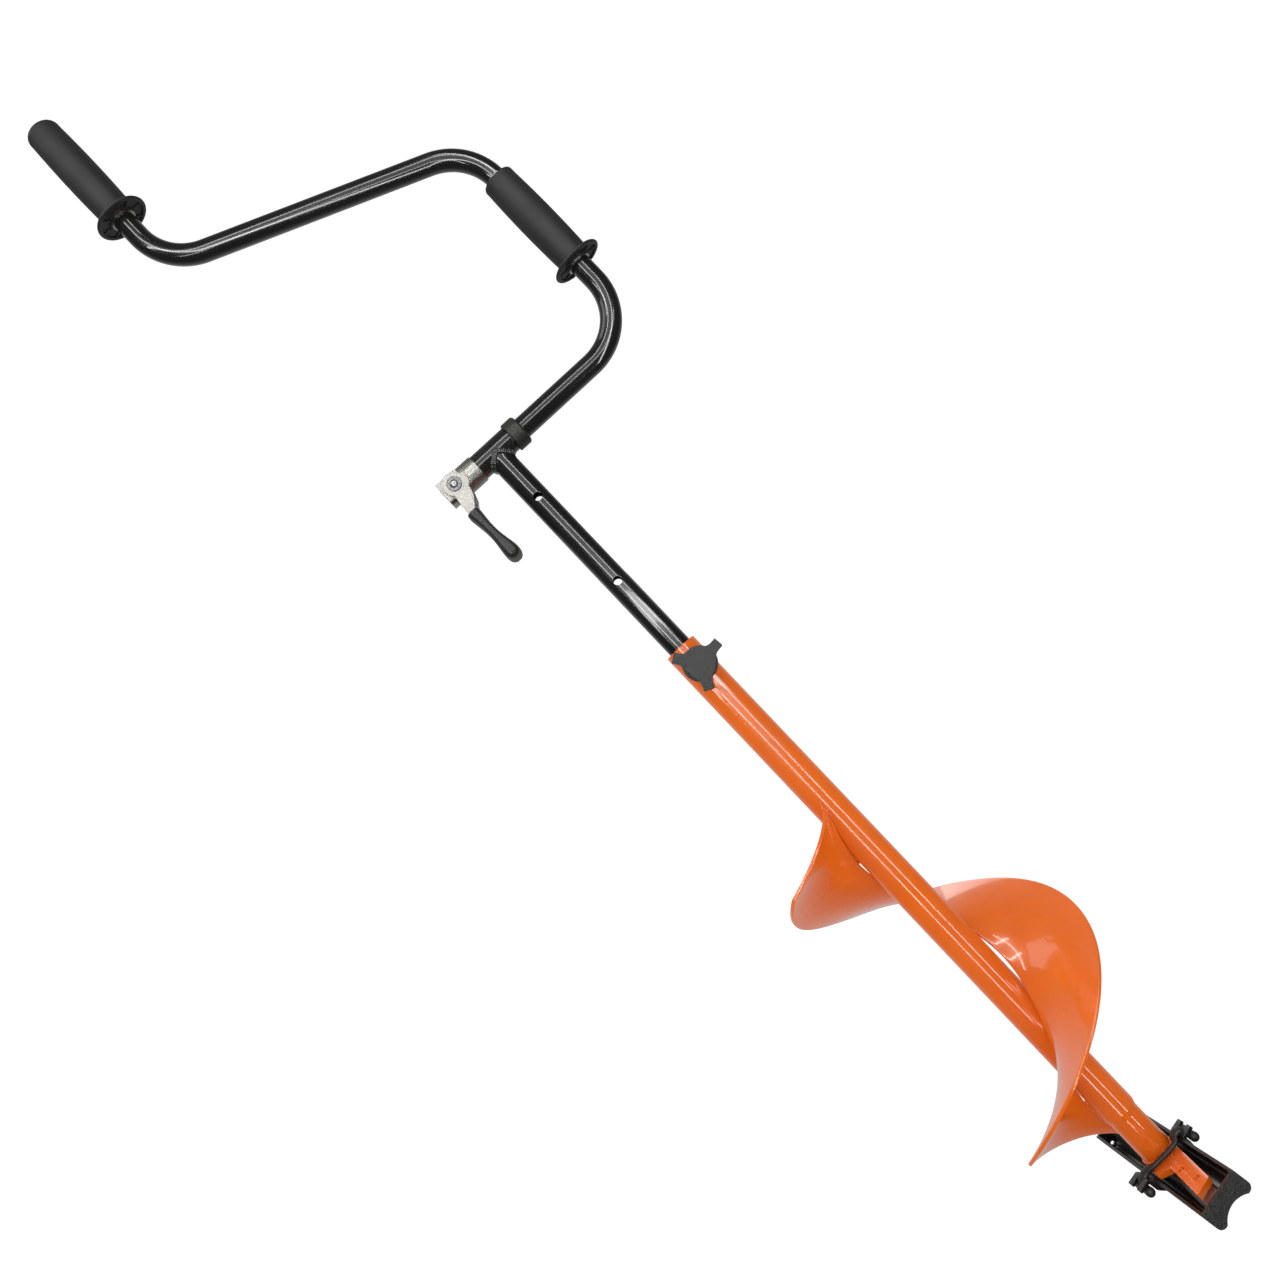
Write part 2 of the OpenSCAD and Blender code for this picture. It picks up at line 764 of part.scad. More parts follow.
module knob_outline() {
  circle(r = knob_body_r);
  for (i = [0:2]) rotate(knob_turn + 120 * i) {
    polygon([[0, -knob_root_w / 2 - 1], [knob_r - 3, -knob_tip_w / 2], [knob_r, -knob_tip_w / 2 + 1.5],
      [knob_r, knob_tip_w / 2 - 1.5], [knob_r - 3, knob_tip_w / 2], [0, knob_root_w / 2 + 1]]);
  }
}

module star_knob() {
  color("black") translate([0, 0, z_screw]) difference() {
    union() {
      rod_y(knob_hub_r, -knob_back - knob_hub_len - cut, -knob_back);
      rod_y(knob_disc_r, -knob_back - knob_hub_len - knob_disc_len, -knob_back - knob_hub_len);
      slab_y(-knob_back - knob_depth, -knob_back - knob_hub_len) knob_outline();
    }
    rod_y(screw_r + run_fit, -knob_back - knob_screw_depth, 0);
  }
}

module lock_screw() {
  color("silver") translate([0, 0, z_screw])
    rod_y(screw_r, -knob_back - knob_screw_depth + gap, -post_r - gap);
}

main_tube();
guide_bush();
lock_nut();
flight();
blade_plate();
blade_front();
blade_rear();
blade_screws();
guard_strap();
post_tube();
socket_tube();
socket_weld();
post_foot();
crank_tube();
crank_collar();
collar_pin();
draw_plug();
lever_pin();
upper_end_plug();
grip_rings();
clamp_sleeve();
lever_frame();
lever_grip();
upper_grip();
lower_grip();
star_knob();
lock_screw();
blade_guard();
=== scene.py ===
import json
from math import asin, copysign, cos, degrees, hypot, pi, radians, sin, sqrt, tan

import bmesh
import bpy
from mathutils import Matrix, Vector


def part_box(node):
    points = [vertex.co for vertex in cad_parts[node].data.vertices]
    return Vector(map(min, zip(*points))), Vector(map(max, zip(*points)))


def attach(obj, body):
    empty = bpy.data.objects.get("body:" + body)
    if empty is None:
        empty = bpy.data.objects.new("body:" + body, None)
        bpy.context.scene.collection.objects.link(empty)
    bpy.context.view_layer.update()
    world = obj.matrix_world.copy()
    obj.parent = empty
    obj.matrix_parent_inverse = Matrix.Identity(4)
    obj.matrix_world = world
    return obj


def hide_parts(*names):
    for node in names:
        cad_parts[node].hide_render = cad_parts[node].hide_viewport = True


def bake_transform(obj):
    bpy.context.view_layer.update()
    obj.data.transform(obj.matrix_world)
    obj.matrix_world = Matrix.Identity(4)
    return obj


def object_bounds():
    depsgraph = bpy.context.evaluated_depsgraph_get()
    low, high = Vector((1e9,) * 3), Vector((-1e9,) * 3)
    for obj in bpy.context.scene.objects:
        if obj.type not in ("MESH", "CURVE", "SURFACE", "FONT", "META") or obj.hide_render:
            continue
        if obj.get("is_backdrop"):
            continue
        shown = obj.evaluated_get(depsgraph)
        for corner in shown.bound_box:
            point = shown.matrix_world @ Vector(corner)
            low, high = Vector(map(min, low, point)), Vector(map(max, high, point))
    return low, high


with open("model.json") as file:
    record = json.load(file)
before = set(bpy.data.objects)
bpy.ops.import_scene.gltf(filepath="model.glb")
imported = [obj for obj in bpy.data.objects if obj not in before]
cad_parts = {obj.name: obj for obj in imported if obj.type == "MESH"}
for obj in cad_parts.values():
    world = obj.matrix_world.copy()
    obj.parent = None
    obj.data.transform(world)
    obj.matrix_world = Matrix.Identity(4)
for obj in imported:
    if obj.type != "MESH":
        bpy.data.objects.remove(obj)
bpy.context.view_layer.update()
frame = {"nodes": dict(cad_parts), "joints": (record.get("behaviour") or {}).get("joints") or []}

# ---- sizes, in metres

MM = 0.001
JOINTS = {joint["name"]: joint for joint in frame["joints"]}
SOCKET_Z = JOINTS["crank_fold"]["pos_m"][2]
PIN = Vector(JOINTS["lever_swing"]["pos_m"])
SIDE_X = JOINTS["side_handle_spin"]["pos_m"][0]
TOP_X = JOINTS["top_handle_spin"]["pos_m"][0]
SCREW_Z = JOINTS["knob_turn"]["pos_m"][2]

TUBE_LOW, TUBE_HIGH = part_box("main_tube")
TUBE_R = TUBE_HIGH.x
TUBE_WALL = 1.5 * MM
TUBE_END = TUBE_LOW.z
TUBE_TOP = TUBE_HIGH.z
NECK_R = 13.5 * MM
NECK_LEN = 40 * MM
SWAGE_LEN = 5 * MM
POST_LOW, POST_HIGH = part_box("post_tube")
POST_R = POST_HIGH.x
POST_WALL = 2 * MM
SOCKET_LOW, SOCKET_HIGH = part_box("socket_tube")
SOCKET_R = SOCKET_HIGH.y
CRANK_R = 10 * MM
CRANK_BEND = 55 * MM
HOLE_R = 4.1 * MM
HOLE_PITCH = 100 * MM
HEAD_TURN = radians(2.2)
PLATE_TURN = radians(-3.6)
GUARD_ROLL = radians(9.7)


# ---- camera

CAMERA_PLACE = Vector((-0.07346, -0.9975, 0.05489))
CAMERA_YAW = radians(3.04)
CAMERA_PITCH = radians(4.60)
CAMERA_ROLL = radians(-43.4)
CAMERA_LENS = 33.08


def new_object(name, data):
    added = bpy.data.objects.new(name, data)
    bpy.context.scene.collection.objects.link(added)
    return added


def facing(right, up, back, place):
    """The matrix of a camera or a lamp at a place, from its own three axes."""
    return Matrix.Translation(place) @ Matrix((right, up, back)).transposed().to_4x4()


def fill(added, settings):
    for key, value in settings.items():
        setattr(added, key, value)
    return added


def change(piece, name, kind, **settings):
    """Adds a modifier with its settings."""
    return fill(piece.modifiers.new(name, kind), settings)


def make_camera():
    flat = cos(CAMERA_PITCH)
    ahead = Vector((sin(CAMERA_YAW) * flat, cos(CAMERA_YAW) * flat, sin(CAMERA_PITCH)))
    level = Vector((cos(CAMERA_YAW), -sin(CAMERA_YAW), 0))
    up = (-ahead).cross(level)
    right = level * cos(CAMERA_ROLL) + up * sin(CAMERA_ROLL)
    top = (-ahead).cross(right)
    data = fill(bpy.data.cameras.new("camera"), dict(lens=CAMERA_LENS, sensor_width=36,
        clip_start=0.01, clip_end=50))
    camera = new_object("camera", data)
    camera.matrix_world = facing(right, top, -ahead, CAMERA_PLACE)
    bpy.context.scene.camera = camera


make_camera()


# ---- node helpers

def wire(tree, kind, inputs=None, **settings):
    """Adds a node, sets its settings, and fills its inputs with values or links."""
    added = fill(tree.nodes.new(kind), settings)
    for key, value in (inputs or {}).items():
        if isinstance(value, bpy.types.NodeSocket):
            tree.links.new(value, added.inputs[key])
        else:
            added.inputs[key].default_value = value
    return added


def made(tree, kind, inputs=None, **settings):
    """The first output of a node added with wire."""
    return wire(tree, kind, inputs, **settings).outputs[0]


def shader_group(name, inputs, outputs):
    """A shader node group with named float inputs and named outputs."""
    tree = bpy.data.node_groups.new(name, "ShaderNodeTree")
    for label, value in inputs.items():
        tree.interface.new_socket(name=label, in_out="INPUT",
            socket_type="NodeSocketFloat").default_value = value
    for label in outputs:
        tree.interface.new_socket(name=label, in_out="OUTPUT", socket_type="NodeSocketFloat")
    return tree, tree.nodes.new("NodeGroupInput").outputs, tree.nodes.new("NodeGroupOutput").inputs


def math_node(tree, operation, *values, clamp=False):
    return made(tree, "ShaderNodeMath", dict(enumerate(values)), operation=operation,
        use_clamp=clamp)


def times(tree, a, b, clamp=False):
    return math_node(tree, "MULTIPLY", a, b, clamp=clamp)


def above(tree, value, start, gain):
    """A mask that is 0 up to a start and climbs to 1 at a gain."""
    return times(tree, math_node(tree, "SUBTRACT", value, start), gain, True)


def noise_node(tree, coords, scale, detail=4.0, rough=0.55, stretch=None):
    if stretch:
        coords = made(tree, "ShaderNodeMapping", {"Vector": coords, "Scale": stretch})
    return wire(tree, "ShaderNodeTexNoise", {"Vector": coords, "Scale": scale, "Detail": detail,
        "Roughness": rough}).outputs["Fac"]


def object_coords(tree):
    return wire(tree, "ShaderNodeTexCoord").outputs["Object"]


# ---- shared surface effects

def make_grain():
    """Fine relief over a slower change of tone."""
    tree, given, out = shader_group("grain", {"Scale": 900.0, "Tone scale": 40.0},
        ["Height", "Tone"])
    coords = object_coords(tree)
    fine = noise_node(tree, coords, given["Scale"], 5.0, 0.6)
    slow = noise_node(tree, coords, given["Tone scale"], 3.0, 0.5)
    pits = made(tree, "ShaderNodeTexVoronoi", {"Vector": coords, "Scale": given["Scale"]})
    height = math_node(tree, "MULTIPLY_ADD", pits, 0.5, times(tree, fine, 0.5))
    tree.links.new(height, out["Height"])
    tree.links.new(slow, out["Tone"])
    return tree


def make_edge_wear():
    """Mask of rubbed edges: sharp convex places, broken up by noise."""
    tree, given, out = shader_group("edge_wear", {"Amount": 0.5, "Scale": 120.0}, ["Mask"])
    point = wire(tree, "ShaderNodeNewGeometry").outputs["Pointiness"]
    ragged = noise_node(tree, object_coords(tree), given["Scale"], 6.0, 0.7)
    rubbed = times(tree, above(tree, point, 0.62, 10.0), above(tree, ragged, 0.45, 5.0))
    mask = times(tree, rubbed, given["Amount"], True)
    tree.links.new(mask, out["Mask"])
    return tree


def make_scuffs():
    """Faint handling marks: long thin scratches and soft smudges."""
    tree, given, out = shader_group("scuffs", {"Scale": 60.0, "Amount": 0.4}, ["Scratch", "Smudge"])
    coords = object_coords(tree)
    lines = noise_node(tree, coords, given["Scale"], 3.0, 0.6, (1.0, 1.0, 0.06))
    across = noise_node(tree, coords, given["Scale"], 3.0, 0.6, (0.08, 1.0, 1.0))
    both = math_node(tree, "MAXIMUM", lines, across)
    scratch = above(tree, both, 0.66, 9.0)
    smudge = noise_node(tree, coords, 14.0, 4.0, 0.6)
    tree.links.new(times(tree, scratch, given["Amount"]), out["Scratch"])
    tree.links.new(smudge, out["Smudge"])
    return tree


def make_dust():
    """Thin dust on faces that look up."""
    tree, given, out = shader_group("dust", {"Amount": 0.2}, ["Mask"])
    normal = wire(tree, "ShaderNodeNewGeometry").outputs["Normal"]
    up = wire(tree, "ShaderNodeSeparateXYZ", {0: normal}).outputs["Z"]
    cloud = noise_node(tree, object_coords(tree), 90.0, 6.0, 0.7)
    mask = times(tree, times(tree, up, cloud, True), given["Amount"], True)
    tree.links.new(mask, out["Mask"])
    return tree


GRAIN = make_grain()
EDGE_WEAR = make_edge_wear()
SCUFFS = make_scuffs()
DUST = make_dust()


def effect(tree, group, **values):
    added = tree.nodes.new("ShaderNodeGroup")
    added.node_tree = group
    for label, value in values.items():
        added.inputs[label.replace("_", " ")].default_value = value
    return added.outputs


def mix_colour(tree, factor, a, b):
    added = tree.nodes.new("ShaderNodeMix")
    added.data_type = "RGBA"
    for key, value in ((0, factor), (6, a), (7, b)):
        if isinstance(value, bpy.types.NodeSocket):
            tree.links.new(value, added.inputs[key])
        else:
            added.inputs[key].default_value = (*value, 1.0) if key else value
    return added.outputs[2]


def spread(tree, value, low, high):
    return made(tree, "ShaderNodeMapRange", {"Value": value, "From Min": 0.3, "From Max": 0.7,
        "To Min": low, "To Max": high})


def start_material(name, **constants):
    material = bpy.data.materials.new(name)
    material.use_nodes = True
    tree = material.node_tree
    shader = next(n for n in tree.nodes if n.type == "BSDF_PRINCIPLED")
    for label, value in constants.items():
        shader.inputs[label.replace("_", " ")].default_value = value
    return material, tree, shader.inputs


def bump(tree, height, strength, depth):
    return made(tree, "ShaderNodeBump", {"Height": height, "Strength": strength, "Distance": depth})


# ---- materials

def gloss_paint(name, colour, deep, bare, wear, coat, rough):
    """Sprayed gloss paint with a faint orange peel, handling marks and chipped edges."""
    material, tree, shader = start_material(name, Coat_Weight=coat, Coat_Roughness=0.04,
        Specular_IOR_Level=0.5)
    grain = effect(tree, GRAIN, Scale=420.0, Tone_scale=26.0)
    marks = effect(tree, SCUFFS, Scale=70.0, Amount=0.35)
    chips = effect(tree, EDGE_WEAR, Amount=wear, Scale=260.0)["Mask"]
    dust = effect(tree, DUST, Amount=0.05)["Mask"]
    base = mix_colour(tree, spread(tree, grain["Tone"], 0.0, 0.5), colour, deep)
    base = mix_colour(tree, dust, base, (0.55, 0.53, 0.50))
    base = mix_colour(tree, chips, base, bare)
    tree.links.new(base, shader["Base Color"])
    smear = spread(tree, marks["Smudge"], rough * 0.75, rough * 1.5)
    tree.links.new(math_node(tree, "ADD", smear, times(tree, marks["Scratch"], 0.12)),
        shader["Roughness"])
    tree.links.new(bump(tree, grain["Tone"], 0.05, 0.0002), shader["Normal"])
    return material


def moulded(name, colour, light, rough, relief, scale, depth=0.0002):
    """Moulded rubber or plastic: spark-eroded grain, rubbed lighter on its edges."""
    material, tree, shader = start_material(name, Specular_IOR_Level=0.45)
    grain = effect(tree, GRAIN, Scale=scale, Tone_scale=55.0)
    marks = effect(tree, SCUFFS, Scale=110.0, Amount=0.5)
    rub = effect(tree, EDGE_WEAR, Amount=0.5, Scale=180.0)["Mask"]
    dust = effect(tree, DUST, Amount=0.10)["Mask"]
    base = mix_colour(tree, spread(tree, grain["Tone"], 0.0, 0.6), colour, light)
    base = mix_colour(tree, times(tree, marks["Scratch"], 0.35), base, tuple(3 * c for c in light))
    base = mix_colour(tree, rub, base, tuple(2.2 * c for c in light))
    base = mix_colour(tree, dust, base, (0.30, 0.29, 0.27))
    tree.links.new(base, shader["Base Color"])
    tree.links.new(spread(tree, marks["Smudge"], rough - 0.08, rough + 0.08), shader["Roughness"])
    tree.links.new(bump(tree, grain["Height"], relief, depth), shader["Normal"])
    return material


def plated_steel(name, colour, dark, rough, along):
    """Plated or ground steel: fine lines along the way it was finished, with dull patches."""
    material, tree, shader = start_material(name, Metallic=1.0)
    coords = object_coords(tree)
    lines = noise_node(tree, coords, 900.0, 4.0, 0.6, along)
    tone = noise_node(tree, coords, 70.0, 5.0, 0.6)
    marks = effect(tree, SCUFFS, Scale=160.0, Amount=0.6)
    wear = effect(tree, EDGE_WEAR, Amount=0.6, Scale=300.0)["Mask"]
    base = mix_colour(tree, spread(tree, tone, 0.0, 0.7), colour, dark)
    base = mix_colour(tree, wear, base, (0.80, 0.80, 0.78))
    tree.links.new(base, shader["Base Color"])
    rough_value = spread(tree, lines, rough - 0.07, rough + 0.10)
    tree.links.new(math_node(tree, "ADD", rough_value, times(tree, marks["Scratch"], 0.2)),
        shader["Roughness"])
    tree.links.new(bump(tree, lines, 0.12, 0.0001), shader["Normal"])
    return material


ORANGE_PAINT = gloss_paint("orange_paint", (0.84, 0.150, 0.006), (0.74, 0.115, 0.004),
    (0.50, 0.16, 0.04), 0.35, 0.7, 0.20)
BLACK_PAINT = gloss_paint("black_paint", (0.0075, 0.0075, 0.0072), (0.013, 0.013, 0.012),
    (0.06, 0.06, 0.055), 0.5, 0.8, 0.16)
GRIP_RUBBER = moulded("grip_rubber", (0.010, 0.010, 0.0095), (0.016, 0.016, 0.015), 0.58, 0.35,
    1500.0)
STRAP_RUBBER = moulded("strap_rubber", (0.009, 0.009, 0.008), (0.015, 0.015, 0.013), 0.50, 0.30,
    900.0)
BLACK_PLASTIC = moulded("black_plastic", (0.012, 0.012, 0.011), (0.018, 0.018, 0.016), 0.46, 0.30,
    1900.0)
GUARD_PLASTIC = moulded("guard_plastic", (0.007, 0.007, 0.0065), (0.012, 0.012, 0.011), 0.26, 0.22,
    700.0)
GRAINED_PLASTIC = moulded("grained_plastic", (0.014, 0.014, 0.013), (0.024, 0.024, 0.022), 0.55,
    0.9, 520.0, 0.0006)
BUSH_PLASTIC = moulded("bush_plastic", (0.030, 0.030, 0.028), (0.045, 0.045, 0.042), 0.5, 0.2,
    1200.0)
ZINC_STEEL = plated_steel("zinc_steel", (0.40, 0.39, 0.36), (0.31, 0.30, 0.28), 0.36,
    (1.0, 1.0, 0.05))
BLADE_STEEL = plated_steel("blade_steel", (0.26, 0.26, 0.27), (0.17, 0.17, 0.18), 0.30,
    (0.05, 1.0, 1.0))


# ---- mesh helpers

def arc(centre, radius, start, end, steps):
    """Points on a circle, from one angle to the other in degrees, both ends included."""
    turns = [radians(start + (end - start) * i / steps) for i in range(steps + 1)]
    return [(centre[0] + radius * cos(a), centre[1] + radius * sin(a)) for a in turns]


def soften(points, radius, steps=4, closed=True):
    """Rounds the corners of an outline with short curves, no longer than half a side."""
    out = []
    count = len(points)
    for i, here in enumerate(points):
        if not closed and i in (0, count - 1):
            out.append(tuple(here))
            continue
        corner = Vector(here)
        before = Vector(points[i - 1]) - corner
        after = Vector(points[(i + 1) % count]) - corner
        cut = min(radius, before.length * 0.45, after.length * 0.45)
        a = corner + before.normalized() * cut
        b = corner + after.normalized() * cut
        for s in range(steps + 1):
            t = s / steps
            out.append(tuple(a * (1 - t) ** 2 + corner * 2 * t * (1 - t) + b * t ** 2))
    return out


def close_mesh(name, verts, faces, sharp=35.0):
    """A mesh with merged doubles, outward faces and smooth shading up to an angle."""
    mesh = bpy.data.meshes.new(name)
    mesh.from_pydata([tuple(v) for v in verts], [], faces)
    edit = bmesh.new()
    edit.from_mesh(mesh)
    bmesh.ops.remove_doubles(edit, verts=edit.verts, dist=1e-7)
    bmesh.ops.recalc_face_normals(edit, faces=edit.faces)
    edit.to_mesh(mesh)
    edit.free()
    smooth(mesh, sharp)
    return mesh


def smooth(mesh, sharp):
    mesh.polygons.foreach_set("use_smooth", [True] * len(mesh.polygons))
    mesh.set_sharp_from_angle(angle=radians(sharp))


def loft(rings, closed_along=False, capped=True):
    """Vertices and faces of a skin over rings of equal length."""
    size = len(rings[0])
    verts = [p for ring in rings for p in ring]
    faces = []
    last = len(rings) if closed_along else len(rings) - 1
    for i in range(last):
        low, high = i * size, ((i + 1) % len(rings)) * size
        for j in range(size):
            k = (j + 1) % size
            faces.append((low + j, low + k, high + k, high + j))
    if capped and not closed_along:
        faces.append(tuple(reversed(range(size))))
        faces.append(tuple(range((len(rings) - 1) * size, len(rings) * size)))
    return verts, faces


def mm(*points):
    """Points given in millimetres."""
    return [tuple(c * MM for c in point) for point in points]


def round_angles(count):
    return [2 * pi * i / count for i in range(count)]


ALONG = {"x": Matrix.Rotation(radians(90), 4, "Y"), "z": Matrix.Identity(4),
    "y": Matrix.Rotation(radians(-90), 4, "X")}


def lathe(name, profile, place, along="z", steps=96, closed=False, sharp=35.0):
    """Turns a profile of (radius, height) round an axis along X, Y or Z through place."""
    rings = []
    for radius, height in profile:
        r = max(radius, 1e-8)
        rings.append([(r * cos(a), r * sin(a), height) for a in round_angles(steps)])
    verts, faces = loft(rings, closed_along=closed)
    turn = Matrix.Translation(place) @ ALONG[along]
    return close_mesh(name, [turn @ Vector(v) for v in verts], faces, sharp)


def ring_profile(inner, outer, low, high, edge):
    """Closed profile of a ring with rounded edges."""
    return soften([(inner, low), (outer, low), (outer, high), (inner, high)], edge)


def prism(name, outline, y0, y1, sharp=35.0):
    """An outline in the XZ plane, thickened from y0 to y1."""
    verts, faces = loft([[(x, y, z) for x, z in outline] for y in (y0, y1)])
    return close_mesh(name, verts, faces, sharp)


def placed(mesh, matrix):
    mesh.transform(matrix)
    return mesh


def joined(name, meshes):
    """One mesh out of several, each as it lies."""
    edit = bmesh.new()
    for mesh in meshes:
        edit.from_mesh(mesh)
    added = bpy.data.meshes.new(name)
    edit.to_mesh(added)
    edit.free()
    smooth(added, 35.0)
    return added


def evaluated(obj, name):
    """A plain mesh of what an object's modifiers make, and the object itself is removed."""
    bpy.context.view_layer.update()
    graph = bpy.context.evaluated_depsgraph_get()
    mesh = bpy.data.meshes.new_from_object(obj.evaluated_get(graph), depsgraph=graph)
    mesh.name = name
    bpy.data.objects.remove(obj)
    return mesh


def cut_from(name, mesh, cutter, operation="DIFFERENCE"):
    """The mesh with the cutter taken out of it, or joined to it."""
    body = new_object(name, mesh)
    tool = new_object(name + "_tool", cutter)
    change(body, "cut", "BOOLEAN", operation=operation, solver="EXACT", object=tool)
    added = evaluated(body, name)
    bpy.data.objects.remove(tool)
    return added


def round_normals(mesh, centre, axis, radii):
    """Exact normals on the round walls of a cut tube, so that they shine without facets."""
    centre, axis = Vector(centre), Vector(axis)
    normals = []
    for face in mesh.polygons:
        for corner in face.loop_indices:
            arm = mesh.vertices[mesh.loops[corner].vertex_index].co - centre
            arm -= axis * arm.dot(axis)
            lean = arm.normalized().dot(face.normal)
            on_wall = any(abs(arm.length - r) < 2e-5 for r in radii) and abs(lean) > 0.9
            normals.append(arm.normalized() * (1 if lean > 0 else -1) if on_wall else face.normal)
    mesh.normals_split_custom_set([tuple(n) for n in normals])


def show(name, mesh, material, body, nodes=(), bevel=0.0, segments=3):
    """Puts a finished mesh in the scene: its material, its edges, its body and its slot,
    which has the material's name."""
    mesh.materials.clear()
    mesh.materials.append(material)
    piece = new_object(name, mesh)
    if bevel:
        change(piece, "edge", "BEVEL", width=bevel, segments=segments, limit_method="ANGLE",
            angle_limit=radians(35), harden_normals=True)
    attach(piece, body)
    if nodes:
        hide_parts(*nodes)
    return piece


# ---- geometry node trees

class Field:
    """A number field of a geometry tree, so that a rule can be written as a formula."""

    def __init__(self, tree, socket):
        self.tree = tree
        self.socket = socket

    def join(self, operation, other, swap=False):
        pair = [self.socket, other.socket if isinstance(other, Field) else other]
        if swap:
            pair.reverse()
        return Field(self.tree, math_node(self.tree, operation, *pair))

    def __add__(self, other):
        return self.join("ADD", other)

    def __sub__(self, other):
        return self.join("SUBTRACT", other)

    def __mul__(self, other):
        return self.join("MULTIPLY", other)

    def __truediv__(self, other):
        return self.join("DIVIDE", other)

    def sine(self):
        return Field(self.tree, math_node(self.tree, "SINE", self.socket))

    def cosine(self):
        return Field(self.tree, math_node(self.tree, "COSINE", self.socket))


def geometry_tree(name, inputs):
    """A geometry tree with named inputs, the last a material, and its group input's sockets."""
    tree = bpy.data.node_groups.new(name, "GeometryNodeTree")
    tree.interface.new_socket(name="Geometry", in_out="OUTPUT", socket_type="NodeSocketGeometry")
    tree.interface.new_socket(name="Geometry", in_out="INPUT", socket_type="NodeSocketGeometry")
    for label, kind in {**inputs, "Material": "Material"}.items():
        tree.interface.new_socket(name=label, in_out="INPUT", socket_type="NodeSocket" + kind)
    return tree, tree.nodes.new("NodeGroupInput").outputs


def end_tree(tree, geometry, material):
    """Ends a tree in smooth, real geometry with its material."""
    shaded = made(tree, "GeometryNodeSetShadeSmooth", {"Geometry": geometry})
    real = made(tree, "GeometryNodeRealizeInstances", {0: shaded})
    painted = wire(tree, "GeometryNodeSetMaterial", {"Geometry": real, "Material": material})
    out = tree.nodes.new("NodeGroupOutput")
    tree.links.new(painted.outputs[0], out.inputs[0])


def grow(name, tree, values, verts=(), edges=()):
    """Runs a tree on a bare path or set of points, and returns the plain mesh it makes."""
    mesh = bpy.data.meshes.new(name)
    mesh.from_pydata([tuple(v) for v in verts] or [(0, 0, 0)], list(edges), [])
    source = new_object(name + "_source", mesh)
    grown = change(source, "grow", "NODES", node_group=tree)
    for item in tree.interface.items_tree:
        if item.in_out == "INPUT" and item.name in values:
            grown[item.identifier] = values[item.name]
    return evaluated(source, name)


def chain(points, closed=False):
    edges = [(i, i + 1) for i in range(len(points) - 1)]
    return edges + [(len(points) - 1, 0)] if closed else edges


def tube_tree():
    """A round tube along a path."""
    tree, given = geometry_tree("tube_along_path", {"Radius": "Float", "Sides": "Int"})
    path = made(tree, "GeometryNodeMeshToCurve", {0: given["Geometry"]})
    ring = made(tree, "GeometryNodeCurvePrimitiveCircle", {"Radius": given["Radius"],
        "Resolution": given["Sides"]})
    skin = made(tree, "GeometryNodeCurveToMesh", {"Curve": path, "Profile Curve": ring,
        "Fill Caps": True})
    end_tree(tree, skin, given["Material"])
    return tree


def weld_tree():
    """Overlapping drops of weld along a path."""
    tree, given = geometry_tree("weld_bead", {"Radius": "Float", "Spacing": "Float", "Seed": "Int"})
    path = made(tree, "GeometryNodeMeshToCurve", {0: given["Geometry"]})
    steps = made(tree, "GeometryNodeResampleCurve", {"Curve": path, "Length": given["Spacing"]},
        mode="LENGTH")
    drop = made(tree, "GeometryNodeMeshIcoSphere", {"Radius": given["Radius"], "Subdivisions": 3})
    size = wire(tree, "FunctionNodeRandomValue", {0: (0.80, 0.80, 0.80), 1: (1.20, 1.20, 1.20),
        "Seed": given["Seed"]}, data_type="FLOAT_VECTOR")
    drops = made(tree, "GeometryNodeInstanceOnPoints", {"Points": steps, "Instance": drop,
        "Scale": size.outputs[0]})
    end_tree(tree, drops, given["Material"])
    return tree


def rib_tree():
    """Equal radial ribs round an upright axis."""
    tree, given = geometry_tree("ribs_round_axis", {"Count": "Int", "Radius": "Float",
        "Length": "Float", "Width": "Float", "Height": "Float"})
    ring = made(tree, "GeometryNodeMeshCircle", {"Vertices": given["Count"],
        "Radius": given["Radius"]})
    size = made(tree, "ShaderNodeCombineXYZ", {0: given["Length"], 1: given["Width"],
        2: given["Height"]})
    rib = made(tree, "GeometryNodeMeshCube", {"Size": size})
    place = made(tree, "GeometryNodeInputPosition")
    turn = made(tree, "FunctionNodeAlignRotationToVector", {"Vector": place}, axis="X")
    ribs = made(tree, "GeometryNodeInstanceOnPoints", {"Points": ring, "Instance": rib,
        "Rotation": turn})
    end_tree(tree, ribs, given["Material"])
    return tree


def copies_tree():
    """A copy of one object on each point."""
    tree, given = geometry_tree("copies_on_points", {"Copy": "Object"})
    shape = wire(tree, "GeometryNodeObjectInfo", {"Object": given["Copy"]}).outputs["Geometry"]
    copies = made(tree, "GeometryNodeInstanceOnPoints", {"Points": given["Geometry"],
        "Instance": shape})
    end_tree(tree, copies, given["Material"])
    return tree


